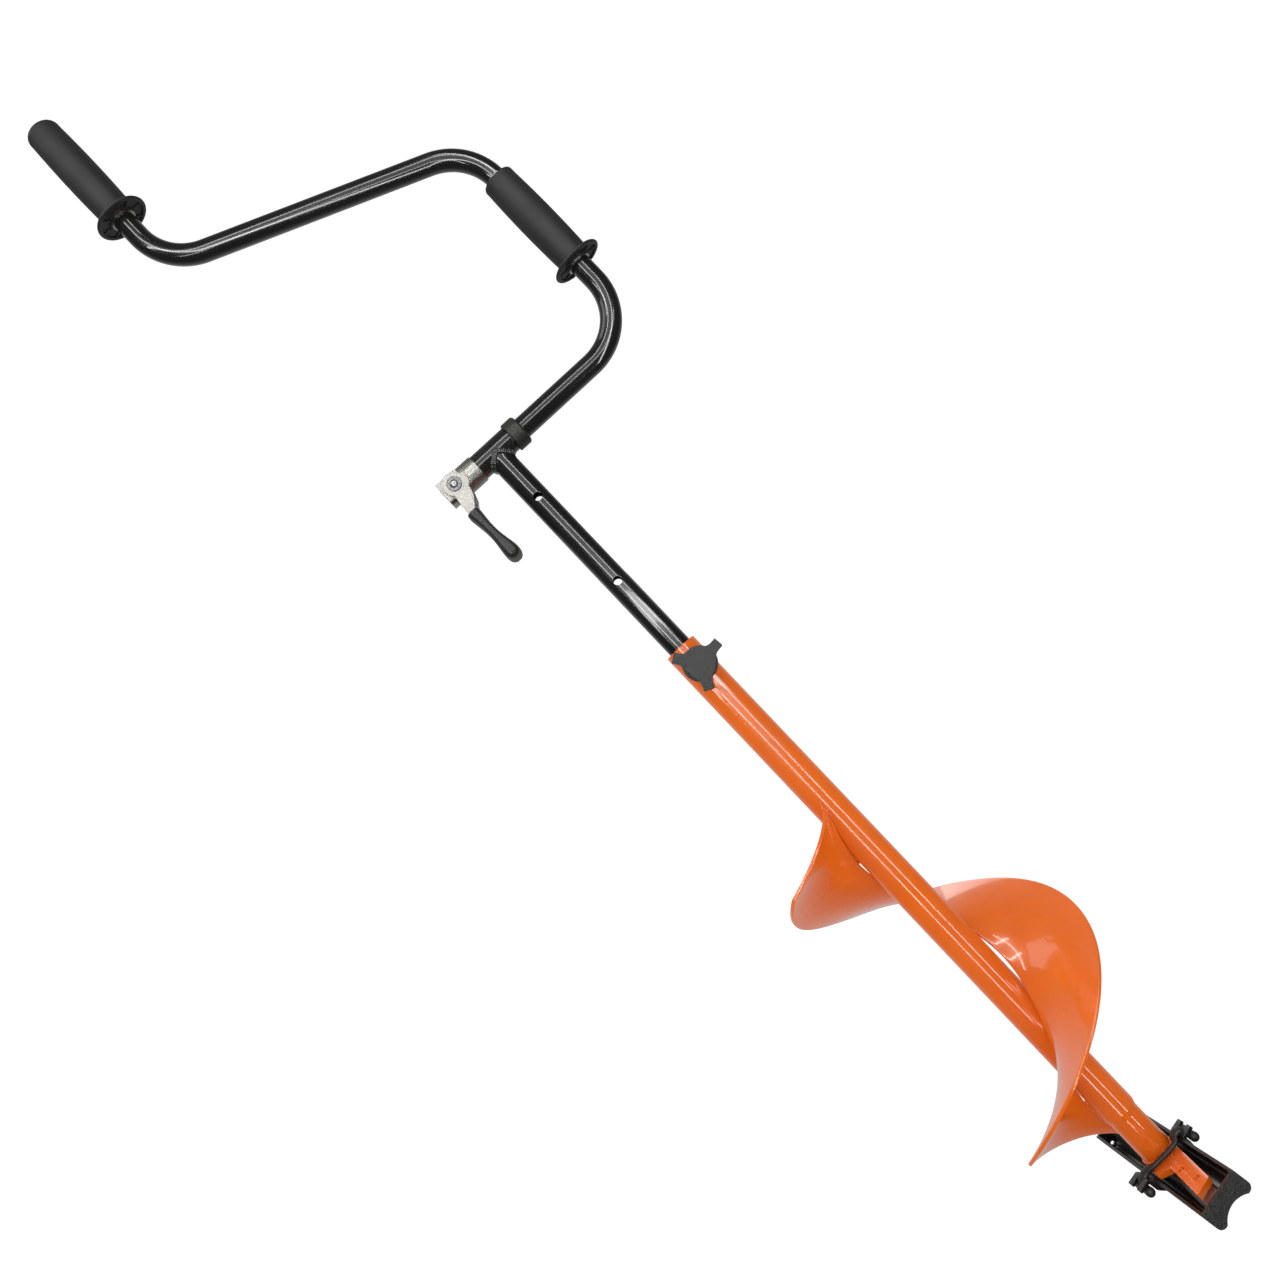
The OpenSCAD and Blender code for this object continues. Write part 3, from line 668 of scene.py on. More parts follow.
def flight_tree():
    """A spiral sheet round an upright tube: its root bows off the tube, its ends are cut back."""
    labels = ("Rim radius", "Tube radius", "Root gap", "Pitch", "Top", "Start", "Turn", "Lead in",
        "Run out", "Rake", "Dish")
    tree, given = geometry_tree("spiral_flight", dict.fromkeys(labels, "Float"))
    value = {label: Field(tree, given[label]) for label in labels}
    grid = made(tree, "GeometryNodeMeshGrid", {"Size X": 1.0, "Size Y": 1.0, "Vertices X": 321,
        "Vertices Y": 25})
    here = wire(tree, "ShaderNodeSeparateXYZ", {0: made(tree, "GeometryNodeInputPosition")})
    along = Field(tree, here.outputs[0]) + 0.5
    out = Field(tree, here.outputs[1]) + 0.5
    width = value["Rim radius"] - value["Tube radius"]
    root = value["Tube radius"] + value["Root gap"] * (along * pi).sine()
    radius = root + (value["Rim radius"] - root) * out
    reach = radius - value["Tube radius"]
    first = value["Start"] - value["Lead in"] * reach / width
    last = value["Start"] - value["Turn"] + value["Run out"] * reach / width
    angle = first + (last - first) * along
    sag = value["Rake"] * reach + value["Dish"] * reach * (value["Rim radius"] - radius) / width
    height = value["Top"] + value["Pitch"] * (angle - value["Start"]) / (2 * pi) - sag
    spot = made(tree, "ShaderNodeCombineXYZ", {0: (radius * angle.cosine()).socket,
        1: (radius * angle.sine()).socket, 2: height.socket})
    sheet = made(tree, "GeometryNodeSetPosition", {"Geometry": grid, "Position": spot})
    end_tree(tree, sheet, given["Material"])
    return tree


TUBE_TREE = tube_tree()
WELD_TREE = weld_tree()
RIB_TREE = rib_tree()
COPIES_TREE = copies_tree()
FLIGHT_TREE = flight_tree()


# ---- drill tube and flight

FLIGHT_RIM = 90.4 * MM
FLIGHT_T = 3 * MM
FLIGHT_TOP = TUBE_TOP - 178 * MM
FLIGHT_START = radians(-111)
FLIGHT_TURN = radians(491)
FLIGHT_PITCH = 269 * MM


def weld(name, points, radius, seed, material, body, closed=False):
    """A weld bead along a path, as a piece of its own."""
    spacing = radius * 0.95
    mesh = grow(name, WELD_TREE, {"Radius": radius, "Spacing": spacing, "Seed": seed,
        "Material": material}, points, chain(points, closed))
    show(name, mesh, material, body)


def drill_tube():
    neck_top = TUBE_END + NECK_LEN
    wall = TUBE_WALL
    outside = [(NECK_R, TUBE_END), (NECK_R, neck_top), (TUBE_R, neck_top + SWAGE_LEN),
        (TUBE_R, TUBE_TOP)]
    inside = [(TUBE_R - wall, TUBE_TOP), (TUBE_R - wall, neck_top + SWAGE_LEN),
        (NECK_R - wall, neck_top), (NECK_R - wall, TUBE_END)]
    profile = soften(outside + inside, 0.5 * MM)
    show("drill_tube", lathe("drill_tube", profile, (0, 0, 0), steps=160, closed=True),
        ORANGE_PAINT, "shaft", ["main_tube"])
    rim = [(NECK_R * cos(a), NECK_R * sin(a), TUBE_END + 0.6 * MM) for a in round_angles(60)]
    weld("tube_end_weld", rim, 1.5 * MM, 3, ORANGE_PAINT, "shaft", closed=True)


def lock_boss():
    low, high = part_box("lock_nut")
    radius = high.x
    front = -low.y
    back = TUBE_R - 2.5 * MM
    flare = [(radius + 2.6 * MM, back), (radius + 1.5 * MM, TUBE_R + 0.2 * MM),
        (radius + 0.5 * MM, TUBE_R + 1.6 * MM), (radius, TUBE_R + 3.2 * MM)]
    bore = 4.2 * MM
    profile = flare + soften([(radius, front - 2 * MM), (radius, front), (bore, front),
        (bore, back)], 0.7 * MM, closed=False)
    mesh = lathe("lock_boss", [(r, -h) for r, h in profile], (0, 0, SCREW_Z), "y", closed=True)
    show("lock_boss", mesh, ORANGE_PAINT, "shaft", ["lock_nut"])


def flight():
    values = {"Rim radius": FLIGHT_RIM, "Tube radius": TUBE_R - 0.2 * MM, "Root gap": 2.7 * MM,
        "Pitch": FLIGHT_PITCH, "Top": FLIGHT_TOP, "Start": FLIGHT_START, "Turn": FLIGHT_TURN,
        "Lead in": radians(38), "Run out": radians(84), "Rake": 0.058, "Dish": 0.034,
        "Material": ORANGE_PAINT}
    mesh = grow("spiral_flight", FLIGHT_TREE, values)
    piece = show("spiral_flight", mesh, ORANGE_PAINT, "shaft", ["flight"])
    change(piece, "sheet", "SOLIDIFY", thickness=FLIGHT_T, offset=0)
    change(piece, "edge", "BEVEL", width=0.9 * MM, segments=3, angle_limit=radians(50))


def flight_welds():
    """Beads where the flight's root meets the tube, at its two ends."""
    radius = TUBE_R + 0.3 * MM
    for name, start, sweep, side, seed in (("flight_top_weld", 0, -80, 1, 5),
            ("flight_low_weld", -421, -70, -1, 9)):
        points = []
        for s in range(21):
            turned = radians(start + sweep * s / 20)
            a = FLIGHT_START + turned
            points.append((radius * cos(a), radius * sin(a), FLIGHT_TOP
                + FLIGHT_PITCH * turned / (2 * pi) + side * 4.4 * MM))
        weld(name, points, 1.5 * MM, seed, ORANGE_PAINT, "shaft")


# ---- head: plate, blades, screws

HEAD = Matrix.Translation((0, 0, TUBE_END)) @ Matrix.Rotation(HEAD_TURN, 4, "Z")
CARRIER = Matrix.Translation((0, 0, TUBE_END)) @ Matrix.Rotation(PLATE_TURN, 4, "Z")
PLATE_T = 5 * MM
BLADE_T = 2.5 * MM
BLADE_R = 93.5 * MM
SCREW_SPOTS = mm((5.6, -21.2), (2.9, -43.4), (7, -65.5))
HALF_TURN = Matrix.Rotation(pi, 4, "Z")


def blade_plate():
    """The welded carrier: a hub under the tube and an arm to each side of it."""
    arm = [(13.6, -12), (13.6, -75.5), (-2.2, -83), (-2.2, -31.9), (-14.2, -25.2), (-14.2, -14)]
    both = [(s * x * MM, s * y * MM) for s in (1, -1) for x, y in arm]
    hub = [(14.6 * MM * cos(a), 14.6 * MM * sin(a)) for a in round_angles(72)]
    upright = Matrix.Rotation(radians(90), 4, "X")
    arms = placed(prism("arms", soften(both, 1.2 * MM), 0, PLATE_T), upright.inverted())
    holes = [lathe("hole", [(0, -9 * MM), (2.6 * MM, -9 * MM), (2.6 * MM, 9 * MM), (0, 9 * MM)],
        (turn @ Vector((x, y, 0))), steps=48) for turn in (Matrix.Identity(4), HALF_TURN) for x,
        y in SCREW_SPOTS]
    disc = placed(prism("disc", hub, 0.01 * MM, PLATE_T - 0.01 * MM), upright.inverted())
    mesh = cut_from("blade_carrier", arms, disc, "UNION")
    low = min(v.co.z for v in mesh.vertices)
    placed(mesh, Matrix.Translation((0, 0, -PLATE_T - low)))
    mesh = placed(cut_from("blade_carrier", mesh, joined("holes", holes)), CARRIER)
    smooth(mesh, 35)
    show("blade_carrier", mesh, ORANGE_PAINT, "shaft", ["blade_plate"], bevel=0.6 * MM)


def blades():
    """Two steel cutters, ground to an edge on the side that leads."""
    tip = [(x * MM, -sqrt(BLADE_R ** 2 - (x * MM) ** 2)) for x in (11, 7, 3, -1, -5)]
    for node, turn in (("blade_front", Matrix.Identity(4)), ("blade_rear", HALF_TURN)):
        top = -PLATE_T
        rows = []
        for x, y in tip:
            ground = 3 * MM if x < -4 * MM else 0
            rows.append([(x + ground, -15 * MM, top), (x + ground, y, top), (x, y, top - BLADE_T),
                (x, -15 * MM, top - BLADE_T)])
        verts, faces = loft(rows)
        mesh = placed(close_mesh(node, verts, faces, 20), CARRIER @ turn)
        show(node.replace("blade", "cutter"), mesh, BLADE_STEEL, "shaft", [node], bevel=0.15 * MM,
            segments=2)


def blade_screws():
    """Screws driven up from below: low heads with a socket, ends just under the plate's top."""
    profile = mm((0, -8.7), (1.6, -8.8), (1.7, -10.2), (2.2, -10.3), (3.4, -9.9), (4.0, -9.0),
        (4.2, -7.5), (2.5, -7.5), (2.5, -1.8), (2.0, -1.3), (0, -1.3))
    shape = new_object("one_screw", lathe("one_screw", profile, (0, 0, 0), steps=40))
    spots = [turn @ Vector((x, y, 0)) for turn in (Matrix.Identity(4), HALF_TURN) for x,
        y in SCREW_SPOTS]
    mesh = grow("carrier_screws", COPIES_TREE, {"Copy": shape, "Material": ZINC_STEEL}, spots)
    bpy.data.objects.remove(shape)
    smooth(mesh, 35)
    piece = show("carrier_screws", placed(mesh, CARRIER), ZINC_STEEL, "shaft", ["blade_screws"])
    piece.data.materials.append(ORANGE_PAINT)
    for face in piece.data.polygons:
        if face.center.z > TUBE_END - PLATE_T:
            face.material_index = 1


# ---- guard and strap

GUARD_PLACE = HEAD @ Matrix.Translation((0.9 * MM, 0, -10 * MM)) @ Matrix.Rotation(-GUARD_ROLL, 4,
    "Y")
GUARD_HALF = 20.5 * MM
GUARD_TOP = 9.5 * MM
GUARD_LEN = 194 * MM
GUARD_WALL = 2.5 * MM
ARCH_RISE = 5.5 * MM
ARCH_HALF = 14 * MM
BAR_R = 4 * MM
BAR_Y = -11 * MM
BAR_LEN = 28 * MM
LUG_W = 6.5 * MM
LUG_GAP = 9 * MM
LUG_T = 2.8 * MM
BARS = [(-GUARD_HALF - 8.8 * MM, GUARD_TOP - 1.5 * MM), (GUARD_HALF + 6.3 * MM,
    GUARD_TOP - 5.9 * MM)]


def guard_outline(inset, up):
    """Section of the trough: upright walls, rounded lower corners and an arched floor."""
    half = GUARD_HALF - inset
    low = -GUARD_TOP + inset
    corner = 5 * MM - inset
    arch_r = (ARCH_HALF ** 2 + ARCH_RISE ** 2) / (2 * ARCH_RISE)
    centre = -GUARD_TOP + ARCH_RISE - arch_r
    reach = degrees(asin((low - centre) / (arch_r + inset)))
    right = arc((half - corner, low + corner), corner, 0, -90, 8)
    left = arc((-half + corner, low + corner), corner, -90, -180, 8)
    arch = arc((0, centre), arch_r + inset, reach, 180 - reach, 20)
    return [(half, GUARD_TOP + up)] + right + arch + left + [(-half, GUARD_TOP + up)]


def blade_guard():
    outer = prism("guard", guard_outline(0, 0), -GUARD_LEN / 2, GUARD_LEN / 2)
    inner = prism("hollow", guard_outline(GUARD_WALL, 2 * MM), -GUARD_LEN / 2 + GUARD_WALL,
        GUARD_LEN / 2 - GUARD_WALL)
    mesh = cut_from("trough", outer, inner)
    vent = lathe("vent", [(0, -3 * MM), (1.7 * MM, -3 * MM), (1.7 * MM, 3 * MM), (0, 3 * MM)],
        (-15.5 * MM, GUARD_LEN / 2 - 1 * MM, -4 * MM), "y", steps=32)
    mesh = placed(cut_from("trough", mesh, vent), GUARD_PLACE)
    smooth(mesh, 30)
    piece = show("blade_trough", mesh, GUARD_PLASTIC, "guard", ["blade_guard"], bevel=0.5 * MM)
    piece.data.materials.append(GRAINED_PLASTIC)
    inverse = GUARD_PLACE.inverted()
    for face in piece.data.polygons:
        if abs((inverse @ face.center).y) > GUARD_LEN / 2 - 0.1 * MM:
            face.material_index = 1


def guard_lugs():
    """Hooks on the trough's walls that the strap's bars catch under."""
    pieces = []
    for (bar_x, bar_z) in BARS:
        side = 1 if bar_x > 0 else -1
        out = abs(bar_x) + BAR_R + 1 * MM
        rib = abs(bar_x) - BAR_R - 0.6 * MM
        under = bar_z + BAR_R + 0.6 * MM
        foot = GUARD_TOP - 11 * MM
        outline = [(GUARD_HALF - 1 * MM, foot), (GUARD_HALF + 0.3 * MM, foot), (rib, foot + 6 * MM),
            (rib, under), (out, under), (out, under + LUG_T), (rib - 1.5 * MM, under + LUG_T),
            (GUARD_HALF - 1 * MM, GUARD_TOP - 1 * MM)]
        outline = soften([(side * x, z) for x, z in outline], 0.9 * MM, 3)
        for side in (-1, 1):
            y = BAR_Y + side * (LUG_GAP + LUG_W) / 2
            pieces.append(prism("lug", outline, y - LUG_W / 2, y + LUG_W / 2))
    show("guard_hooks", placed(joined("guard_hooks", pieces), GUARD_PLACE), GUARD_PLASTIC, "guard",
        bevel=0.5 * MM)


def capsule(start, end, radius, waist):
    """A moulded bar with round ends, a little thinner in the middle."""
    cap = arc((0, start + radius), radius, -90, 0, 10)
    return cap + [(radius * waist, (start + end) / 2)] + [(r, start + end - h) for r,
        h in reversed(cap)]


def strap_bars():
    meshes = []
    for bar_x, bar_z in BARS:
        at = GUARD_PLACE @ Vector((bar_x, 0, bar_z))
        local = HEAD.inverted() @ at
        profile = capsule(BAR_Y - BAR_LEN / 2, BAR_Y + BAR_LEN / 2, BAR_R, 0.86)
        meshes.append(lathe("bar", profile, (local.x, 0, local.z), "y", steps=40))
    show("strap_bars", placed(joined("strap_bars", meshes), HEAD), STRAP_RUBBER, "guard")


def strap_band():
    """The rubber band over the plate, thin at the front of the tube and broad at its bars."""
    guard = HEAD.inverted() @ GUARD_PLACE
    front = [(-NECK_R + 3 * MM, -17.8 * MM, 3.2 * MM), (NECK_R - 3 * MM, -17.8 * MM, 3.4 * MM)]
    left = [(BARS[0][0], BAR_Y, BARS[0][1]), (-GUARD_HALF - 4 * MM, BAR_Y - 0.5 * MM, GUARD_TOP
        + 3.6 * MM), (-GUARD_HALF + 3 * MM, BAR_Y - 2 * MM, GUARD_TOP + 5.6 * MM)]
    right = [(GUARD_HALF - 3 * MM, BAR_Y - 2 * MM, GUARD_TOP + 2.8 * MM),
        (GUARD_HALF + 2.5 * MM, BAR_Y - 0.5 * MM, GUARD_TOP + 2.4 * MM),
        (BARS[1][0], BAR_Y, BARS[1][1])]
    places = [guard @ Vector(p) for p in left] + [Vector(p) for p in front]
    places += [guard @ Vector(p) for p in right]
    half_widths = [5.2, 5.4, 4.4, 2.5, 2.5, 4.4, 5.4, 5.2]
    half_depths = [3.3, 3.4, 2.7, 1.9, 1.9, 2.7, 3.4, 3.3]
    rings = []
    count = len(places)
    steps = 8
    for i in range(count - 1):
        for s in range(steps if i < count - 2 else steps + 1):
            t = s / steps
            p0, p1 = places[max(i - 1, 0)], places[i]
            p2, p3 = places[i + 1], places[min(i + 2, count - 1)]
            square = 2 * p0 - 5 * p1 + 4 * p2 - p3
            cube = 3 * p1 - p0 - 3 * p2 + p3
            centre = 0.5 * (2 * p1 + (p2 - p0) * t + square * t ** 2 + cube * t ** 3)
            slope = 0.5 * ((p2 - p0) + 2 * square * t + 3 * cube * t ** 2)
            ahead = slope.normalized()
            wide = Vector((0, 1, 0))
            wide = (wide - ahead * wide.dot(ahead)).normalized()
            thick = ahead.cross(wide)
            ease = t * t * (3 - 2 * t)
            w = (half_widths[i] + (half_widths[i + 1] - half_widths[i]) * ease) * MM
            d = (half_depths[i] + (half_depths[i + 1] - half_depths[i]) * ease) * MM
            rings.append([centre + wide * w * cos(a) + thick * d * sin(a)
                for a in round_angles(24)])
    verts, faces = loft(rings)
    mesh = placed(close_mesh("strap_band", verts, faces, 60), HEAD)
    mesh.materials.append(STRAP_RUBBER)
    piece = new_object("strap_band", mesh)
    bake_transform(piece)
    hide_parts("guard_strap")


# ---- post and socket

def post():
    """The post with its cross holes, coped to the socket at its top."""
    profile = ring_profile(POST_R - POST_WALL, POST_R, POST_LOW.z, POST_HIGH.z + 2 * MM, 0.4 * MM)
    mesh = lathe("post", profile, (0, 0, 0), steps=128, closed=True)
    first = SOCKET_Z - 55.5 * MM
    reach = 2 * POST_R
    pin = [(0, -reach), (HOLE_R, -reach), (HOLE_R, reach), (0, reach)]
    tools = [lathe("hole", pin, (0, 0, first - i * HOLE_PITCH), "y", steps=48) for i in range(4)]
    saddle = [(0, -reach), (SOCKET_R, -reach), (SOCKET_R, reach), (0, reach)]
    tools.append(lathe("saddle", saddle, (0, 0, SOCKET_Z), "x", steps=128))
    mesh = cut_from("post", mesh, joined("tools", tools))
    smooth(mesh, 35)
    round_normals(mesh, (0, 0, 0), (0, 0, 1), (POST_R, POST_R - POST_WALL))
    show("post", mesh, BLACK_PAINT, "post", ["post_tube"])


def socket():
    profile = ring_profile(SOCKET_R - 1.92 * MM, SOCKET_R, SOCKET_LOW.x, SOCKET_HIGH.x, 0.5 * MM)
    mesh = lathe("socket", profile, (0, 0, SOCKET_Z), "x", steps=128, closed=True)
    show("socket", mesh, BLACK_PAINT, "post", ["socket_tube"])


def saddle_point(angle, radius, lower):
    """A point where a circle round the post meets the socket, or lower on the post."""
    x, y = radius * cos(angle), min(radius, SOCKET_R * 0.985) * sin(angle)
    return Vector((x, y, SOCKET_Z - sqrt(SOCKET_R ** 2 - y ** 2) - lower))


def socket_weld():
    """A filled corner all round the post, with drops of weld at the front and the back."""
    rings = []
    for a in round_angles(96):
        low = saddle_point(a, POST_R + 0.02 * MM, 4.6 * MM)
        corner = saddle_point(a, POST_R + 0.3 * MM, 0)
        high = saddle_point(a, POST_R + 3.6 * MM, -0.02 * MM)
        ring = [low * (1 - t) ** 2 + corner * 2 * t * (1 - t) + high * t ** 2
            for t in (k / 6 for k in range(7))]
        inner = saddle_point(a, POST_R - 0.6 * MM, 0.6 * MM)
        rings.append(ring + [inner])
    verts, faces = loft(rings, closed_along=True)
    show("socket_fillet", close_mesh("socket_fillet", verts, faces, 40), BLACK_PAINT, "post",
        ["socket_weld"])
    for name, centre, seed in (("front_weld", -90, 11), ("back_weld", 90, 17)):
        for row, out, lower in (("", 1.3 * MM, 1.9 * MM), ("_upper", 2.8 * MM, 0.1 * MM)):
            points = [saddle_point(radians(centre + a), POST_R + out
                + 0.6 * MM * sin(3.1 * a + lower * 900), lower) for a in range(-58, 59, 4)]
            weld(name + row, points, 1.75 * MM, seed, BLACK_PAINT, "post")


# ---- crank and its collar

CRANK_CORNERS = [(-36 * MM, 0), (SIDE_X, 0), (SIDE_X, 219.2 * MM), (TOP_X, 325.2 * MM),
    (TOP_X, 490 * MM)]


def bent_path(corners, bend):
    """Points along a planar path whose corners are bent to one radius."""
    points = [Vector(corners[0])]
    for before, here, after in zip(corners, corners[1:], corners[2:]):
        a = (Vector(before) - Vector(here)).normalized()
        b = (Vector(after) - Vector(here)).normalized()
        turn = pi - a.angle(b)
        trim = bend * tan(turn / 2)
        centre = Vector(here) + (a + b).normalized() * hypot(bend, trim)
        start = Vector(here) + a * trim - centre
        side = 1 if a.x * b.y - a.y * b.x < 0 else -1
        steps = 24
        for s in range(steps + 1):
            t = side * turn * s / steps
            points.append(centre + Vector((start.x * cos(t) - start.y * sin(t), start.x * sin(t)
                + start.y * cos(t))))
    points.append(Vector(corners[-1]))
    return [Vector((p.x, 0, p.y)) for p in points]


def crank():
    points = [p + Vector((0, 0, SOCKET_Z)) for p in bent_path(CRANK_CORNERS, CRANK_BEND)]
    mesh = grow("crank", TUBE_TREE, {"Radius": CRANK_R, "Sides": 96, "Material": BLACK_PAINT},
        points, chain(points))
    smooth(mesh, 35)
    show("crank", mesh, BLACK_PAINT, "crank", ["crank_tube"])


def collar():
    low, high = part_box("crank_collar")
    radius = high.y
    width = high.x - low.x
    profile = soften([(CRANK_R, 0), (radius - 0.6 * MM, 0), (radius, 0.7 * MM),
        (radius, width - 1.6 * MM), (radius - 1.6 * MM, width), (CRANK_R, width)], 0.6 * MM)
    mesh = lathe("collar", profile, (low.x, 0, SOCKET_Z), "x", closed=True)
    show("collar", mesh, BLACK_PLASTIC, "crank", ["crank_collar"])


# ---- clamp and lever

def clamp_sleeve():
    """A drawn sleeve whose far half is pressed flat and left open at its top."""
    low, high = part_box("clamp_sleeve")
    radius = high.y
    start, end = high.x, low.x
    middle = start - 17 * MM
    bore = SOCKET_R + 0.08 * MM
    floor_x = SOCKET_LOW.x - 0.3 * MM
    profile = soften([(bore, start), (radius, start), (radius, middle),
        (CRANK_R + 0.08 * MM, middle), (CRANK_R + 0.08 * MM, floor_x), (bore, floor_x)], 0.35 * MM)
    tube = lathe("sleeve", profile, (0, 0, SOCKET_Z), "x", closed=True)
    flat_y, flat_z, wall, corner = radius - 1 * MM, radius - 2 * MM, 2 * MM, 5 * MM
    outer = [(flat_y, flat_z)] + arc((flat_y - corner, -flat_z + corner), corner, 0, -90,
        8) + arc((-flat_y + corner, -flat_z + corner), corner, -90, -180, 8) + [(-flat_y, flat_z)]
    inner_r = corner - wall
    inner = [(-flat_y + wall, flat_z)] + arc((-flat_y + corner, -flat_z + corner), inner_r, -180,
        -90, 8) + arc((flat_y - corner, -flat_z + corner), inner_r, -90, 0,
        8) + [(flat_y - wall, flat_z)]
    rings = [[(x, y, z + SOCKET_Z) for y, z in outer + inner] for x in (end, middle + 1 * MM)]
    verts, faces = loft(rings)
    cheeks = close_mesh("cheeks", verts, faces, 35)
    mesh = joined("clamp_sleeve_shell", [tube, cheeks])
    show("clamp_shell", mesh, ZINC_STEEL, "clamp", ["clamp_sleeve"], bevel=0.25 * MM, segments=2)


def lever():
    """Two steel cheeks with a cam lobe, which narrow into the grip."""
    head = 11 * MM
    lobe = arc((0, 0), head - 0.4 * MM, 229, 24, 30) + arc((2 * MM, -0.5 * MM), head, 15, -38, 10)
    neck = mm((8.9, -8.6), (6.0, -18), (-0.6, -27), (-1.4, -33), (-7.8, -33), (-8.8, -27))
    outline = lobe + soften(neck, 1 * MM, 3, closed=False)
    low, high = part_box("lever_frame")
    plates = []
    for y0, y1 in ((low.y, low.y + 2 * MM), (high.y - 2 * MM, high.y)):
        plates.append(prism("cheek", [(PIN.x + x, SOCKET_Z + z) for x, z in outline], y0, y1, 25))
    show("lever_cheeks", joined("lever_cheeks", plates), ZINC_STEEL, "lever", ["lever_frame"],
        bevel=0.3 * MM, segments=2)


def lever_grip():
    """A waisted plastic grip, broad across the two cheeks, with a round end."""
    stations = [(-27.0, 5.4, 15.6), (-27.6, 6.1, 16.6), (-29.5, 6.25, 16.9), (-36, 5.4, 16.6),
        (-43, 4.6, 16.1), (-50, 4.3, 15.8), (-57, 4.7, 15.9), (-64, 5.7, 16.3), (-70, 6.7, 16.7),
        (-75, 7.15, 16.9), (-78, 6.7, 16.5), (-80, 5.5, 15.4), (-81.4, 3.6, 13.4),
        (-81.95, 1.4, 10.5)]
    rings = []
    for z, half_x, half_y in stations:
        lean = -4.6 + 1.6 * min(max((-27 - z) / 48, 0), 1)
        ring = []
        for a in round_angles(64):
            ca, sa = cos(a), sin(a)
            x = copysign(abs(ca) ** 0.55, ca) * half_x
            y = copysign(abs(sa) ** 0.55, sa) * half_y
            ring.append((PIN.x + (lean + x) * MM, y * MM, SOCKET_Z + z * MM))
        rings.append(ring)
    verts, faces = loft(rings)
    mesh = close_mesh("lever_handle", verts, faces, 50)
    piece = show("lever_handle", mesh, BLACK_PLASTIC, "lever", ["lever_grip"])
    change(piece, "finer", "SUBSURF", levels=1, render_levels=1)


def lever_pin():
    """The rivet: a shank between two washers, with a low domed head at each end."""
    low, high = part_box("lever_pin")
    out = high.y
    dome = mm((0, 0), (1.6, 0.1), (2.8, 0.5), (3.5, 1.2), (3.6, 1.8), (6.2, 1.8), (6.6, 2.2),
        (6.6, 2.6), (4, 2.6))
    half = [(r, out - deep) for r, deep in dome]
    profile = half + [(r, -h) for r, h in reversed(half)]
    mesh = lathe("rivet", profile, (PIN.x, 0, SOCKET_Z), "y", steps=64)
    piece = show("lever_rivet", mesh, ZINC_STEEL, "crank", ["lever_pin"])
    piece.data.materials.append(BLADE_STEEL)
    for face in piece.data.polygons:
        if hypot(face.center.x - PIN.x, face.center.z - SOCKET_Z) > 3.6 * MM:
            face.material_index = 1


# ---- grips

GRIP_BORE = 10.08 * MM
RIB_COUNT = 8


def grip_profile(length, shut):
    """Closed profile of a grip, standing on its flange's lower face."""
    flange_r = 24.5 * MM
    rim = arc((flange_r - 1.5 * MM, 1.5 * MM), 1.5 * MM, -80, 90, 10)
    collar_fillet = arc((18.4 * MM, 5.6 * MM), 2.6 * MM, -90, -168, 6)
    barrel = []
    steps = 24
    low_z, high_z = 7.5 * MM, length - (7 * MM if shut else 3 * MM)
    for s in range(steps + 1):
        t = s / steps
        swell = sin(pi * min(t * 1.05, 1.0)) ** 0.8
        barrel.append((15.55 * MM + 0.95 * MM * swell, low_z + (high_z - low_z) * t))
    end_r = barrel[-1][0]
    recess = mm((12.6, 0), (12.9, 1.5), (20.6, 1.5), (21, 0))
    outside = recess + rim + collar_fillet + barrel
    if shut:
        crown = arc((end_r - 6.2 * MM, high_z + 0.6 * MM), 6.2 * MM, 6, 84, 10)
        return [(GRIP_BORE, 0)] + outside + crown + [(4 * MM, length), (0, length),
            (0, length - 4.5 * MM), (GRIP_BORE, length - 4.5 * MM)]
    lip = soften([(end_r, high_z), (end_r - 0.2 * MM, length), (GRIP_BORE, length)], 1.6 * MM, 5,
        False)
    return [(GRIP_BORE, 0)] + outside + lip


def grip(name, node, x, body, shut):
    low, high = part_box(node)
    length = high.z - low.z
    mesh = lathe(name, grip_profile(length, shut), (x, 0, low.z), steps=128, closed=True, sharp=40)
    show(name, mesh, GRIP_RUBBER, body, [node])
    ribs = grow(name + "_ribs", RIB_TREE, {"Count": RIB_COUNT, "Radius": 16.8 * MM,
        "Length": 8.2 * MM, "Width": 1.4 * MM, "Height": 1.4 * MM, "Material": GRIP_RUBBER})
    placed(ribs, Matrix.Translation((x, 0, low.z + 0.9 * MM)))
    smooth(ribs, 35)
    show(name + "_ribs", ribs, GRIP_RUBBER, body, bevel=0.25 * MM, segments=2)


# ---- star knob

def star_knob():
    """Three square-tipped arms over a round body, with a narrower neck behind."""
    low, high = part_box("star_knob")
    front, back = -low.y, -high.y
    outline = []
    for i in range(3):
        turn = Matrix.Rotation(radians(6 + 120 * i), 2)
        flank = arc((18.3, -14.0), 9.6, 147, 93, 8)
        half = flank + [(20.3, -4.3), (22.9, -4.4)]
        arm = half + [(x, -y) for x, y in reversed(half)]
        outline += [tuple(turn @ Vector(p)) for p in arm]
    outline = soften([(x * MM, SCREW_Z + z * MM) for x, z in outline], 0.9 * MM, 3)
    star = prism("star", outline, -front, -back - 6.4 * MM, 25)
    disc_r, neck_r = 14.9 * MM, 8 * MM
    body = soften([(4.1 * MM, back), (neck_r - 0.4 * MM, back), (neck_r, back + 6 * MM),
        (disc_r, back + 6.6 * MM), (disc_r, back + 14.6 * MM), (4.1 * MM, back + 14.6 * MM)],
        0.8 * MM)
    hub = lathe("knob_body", [(r, -h) for r, h in body], (0, 0, SCREW_Z), "y", closed=True)
    show("lock_knob", joined("lock_knob", [star, hub]), BLACK_PLASTIC, "knob", ["star_knob"],
        bevel=0.5 * MM)


# ---- stage

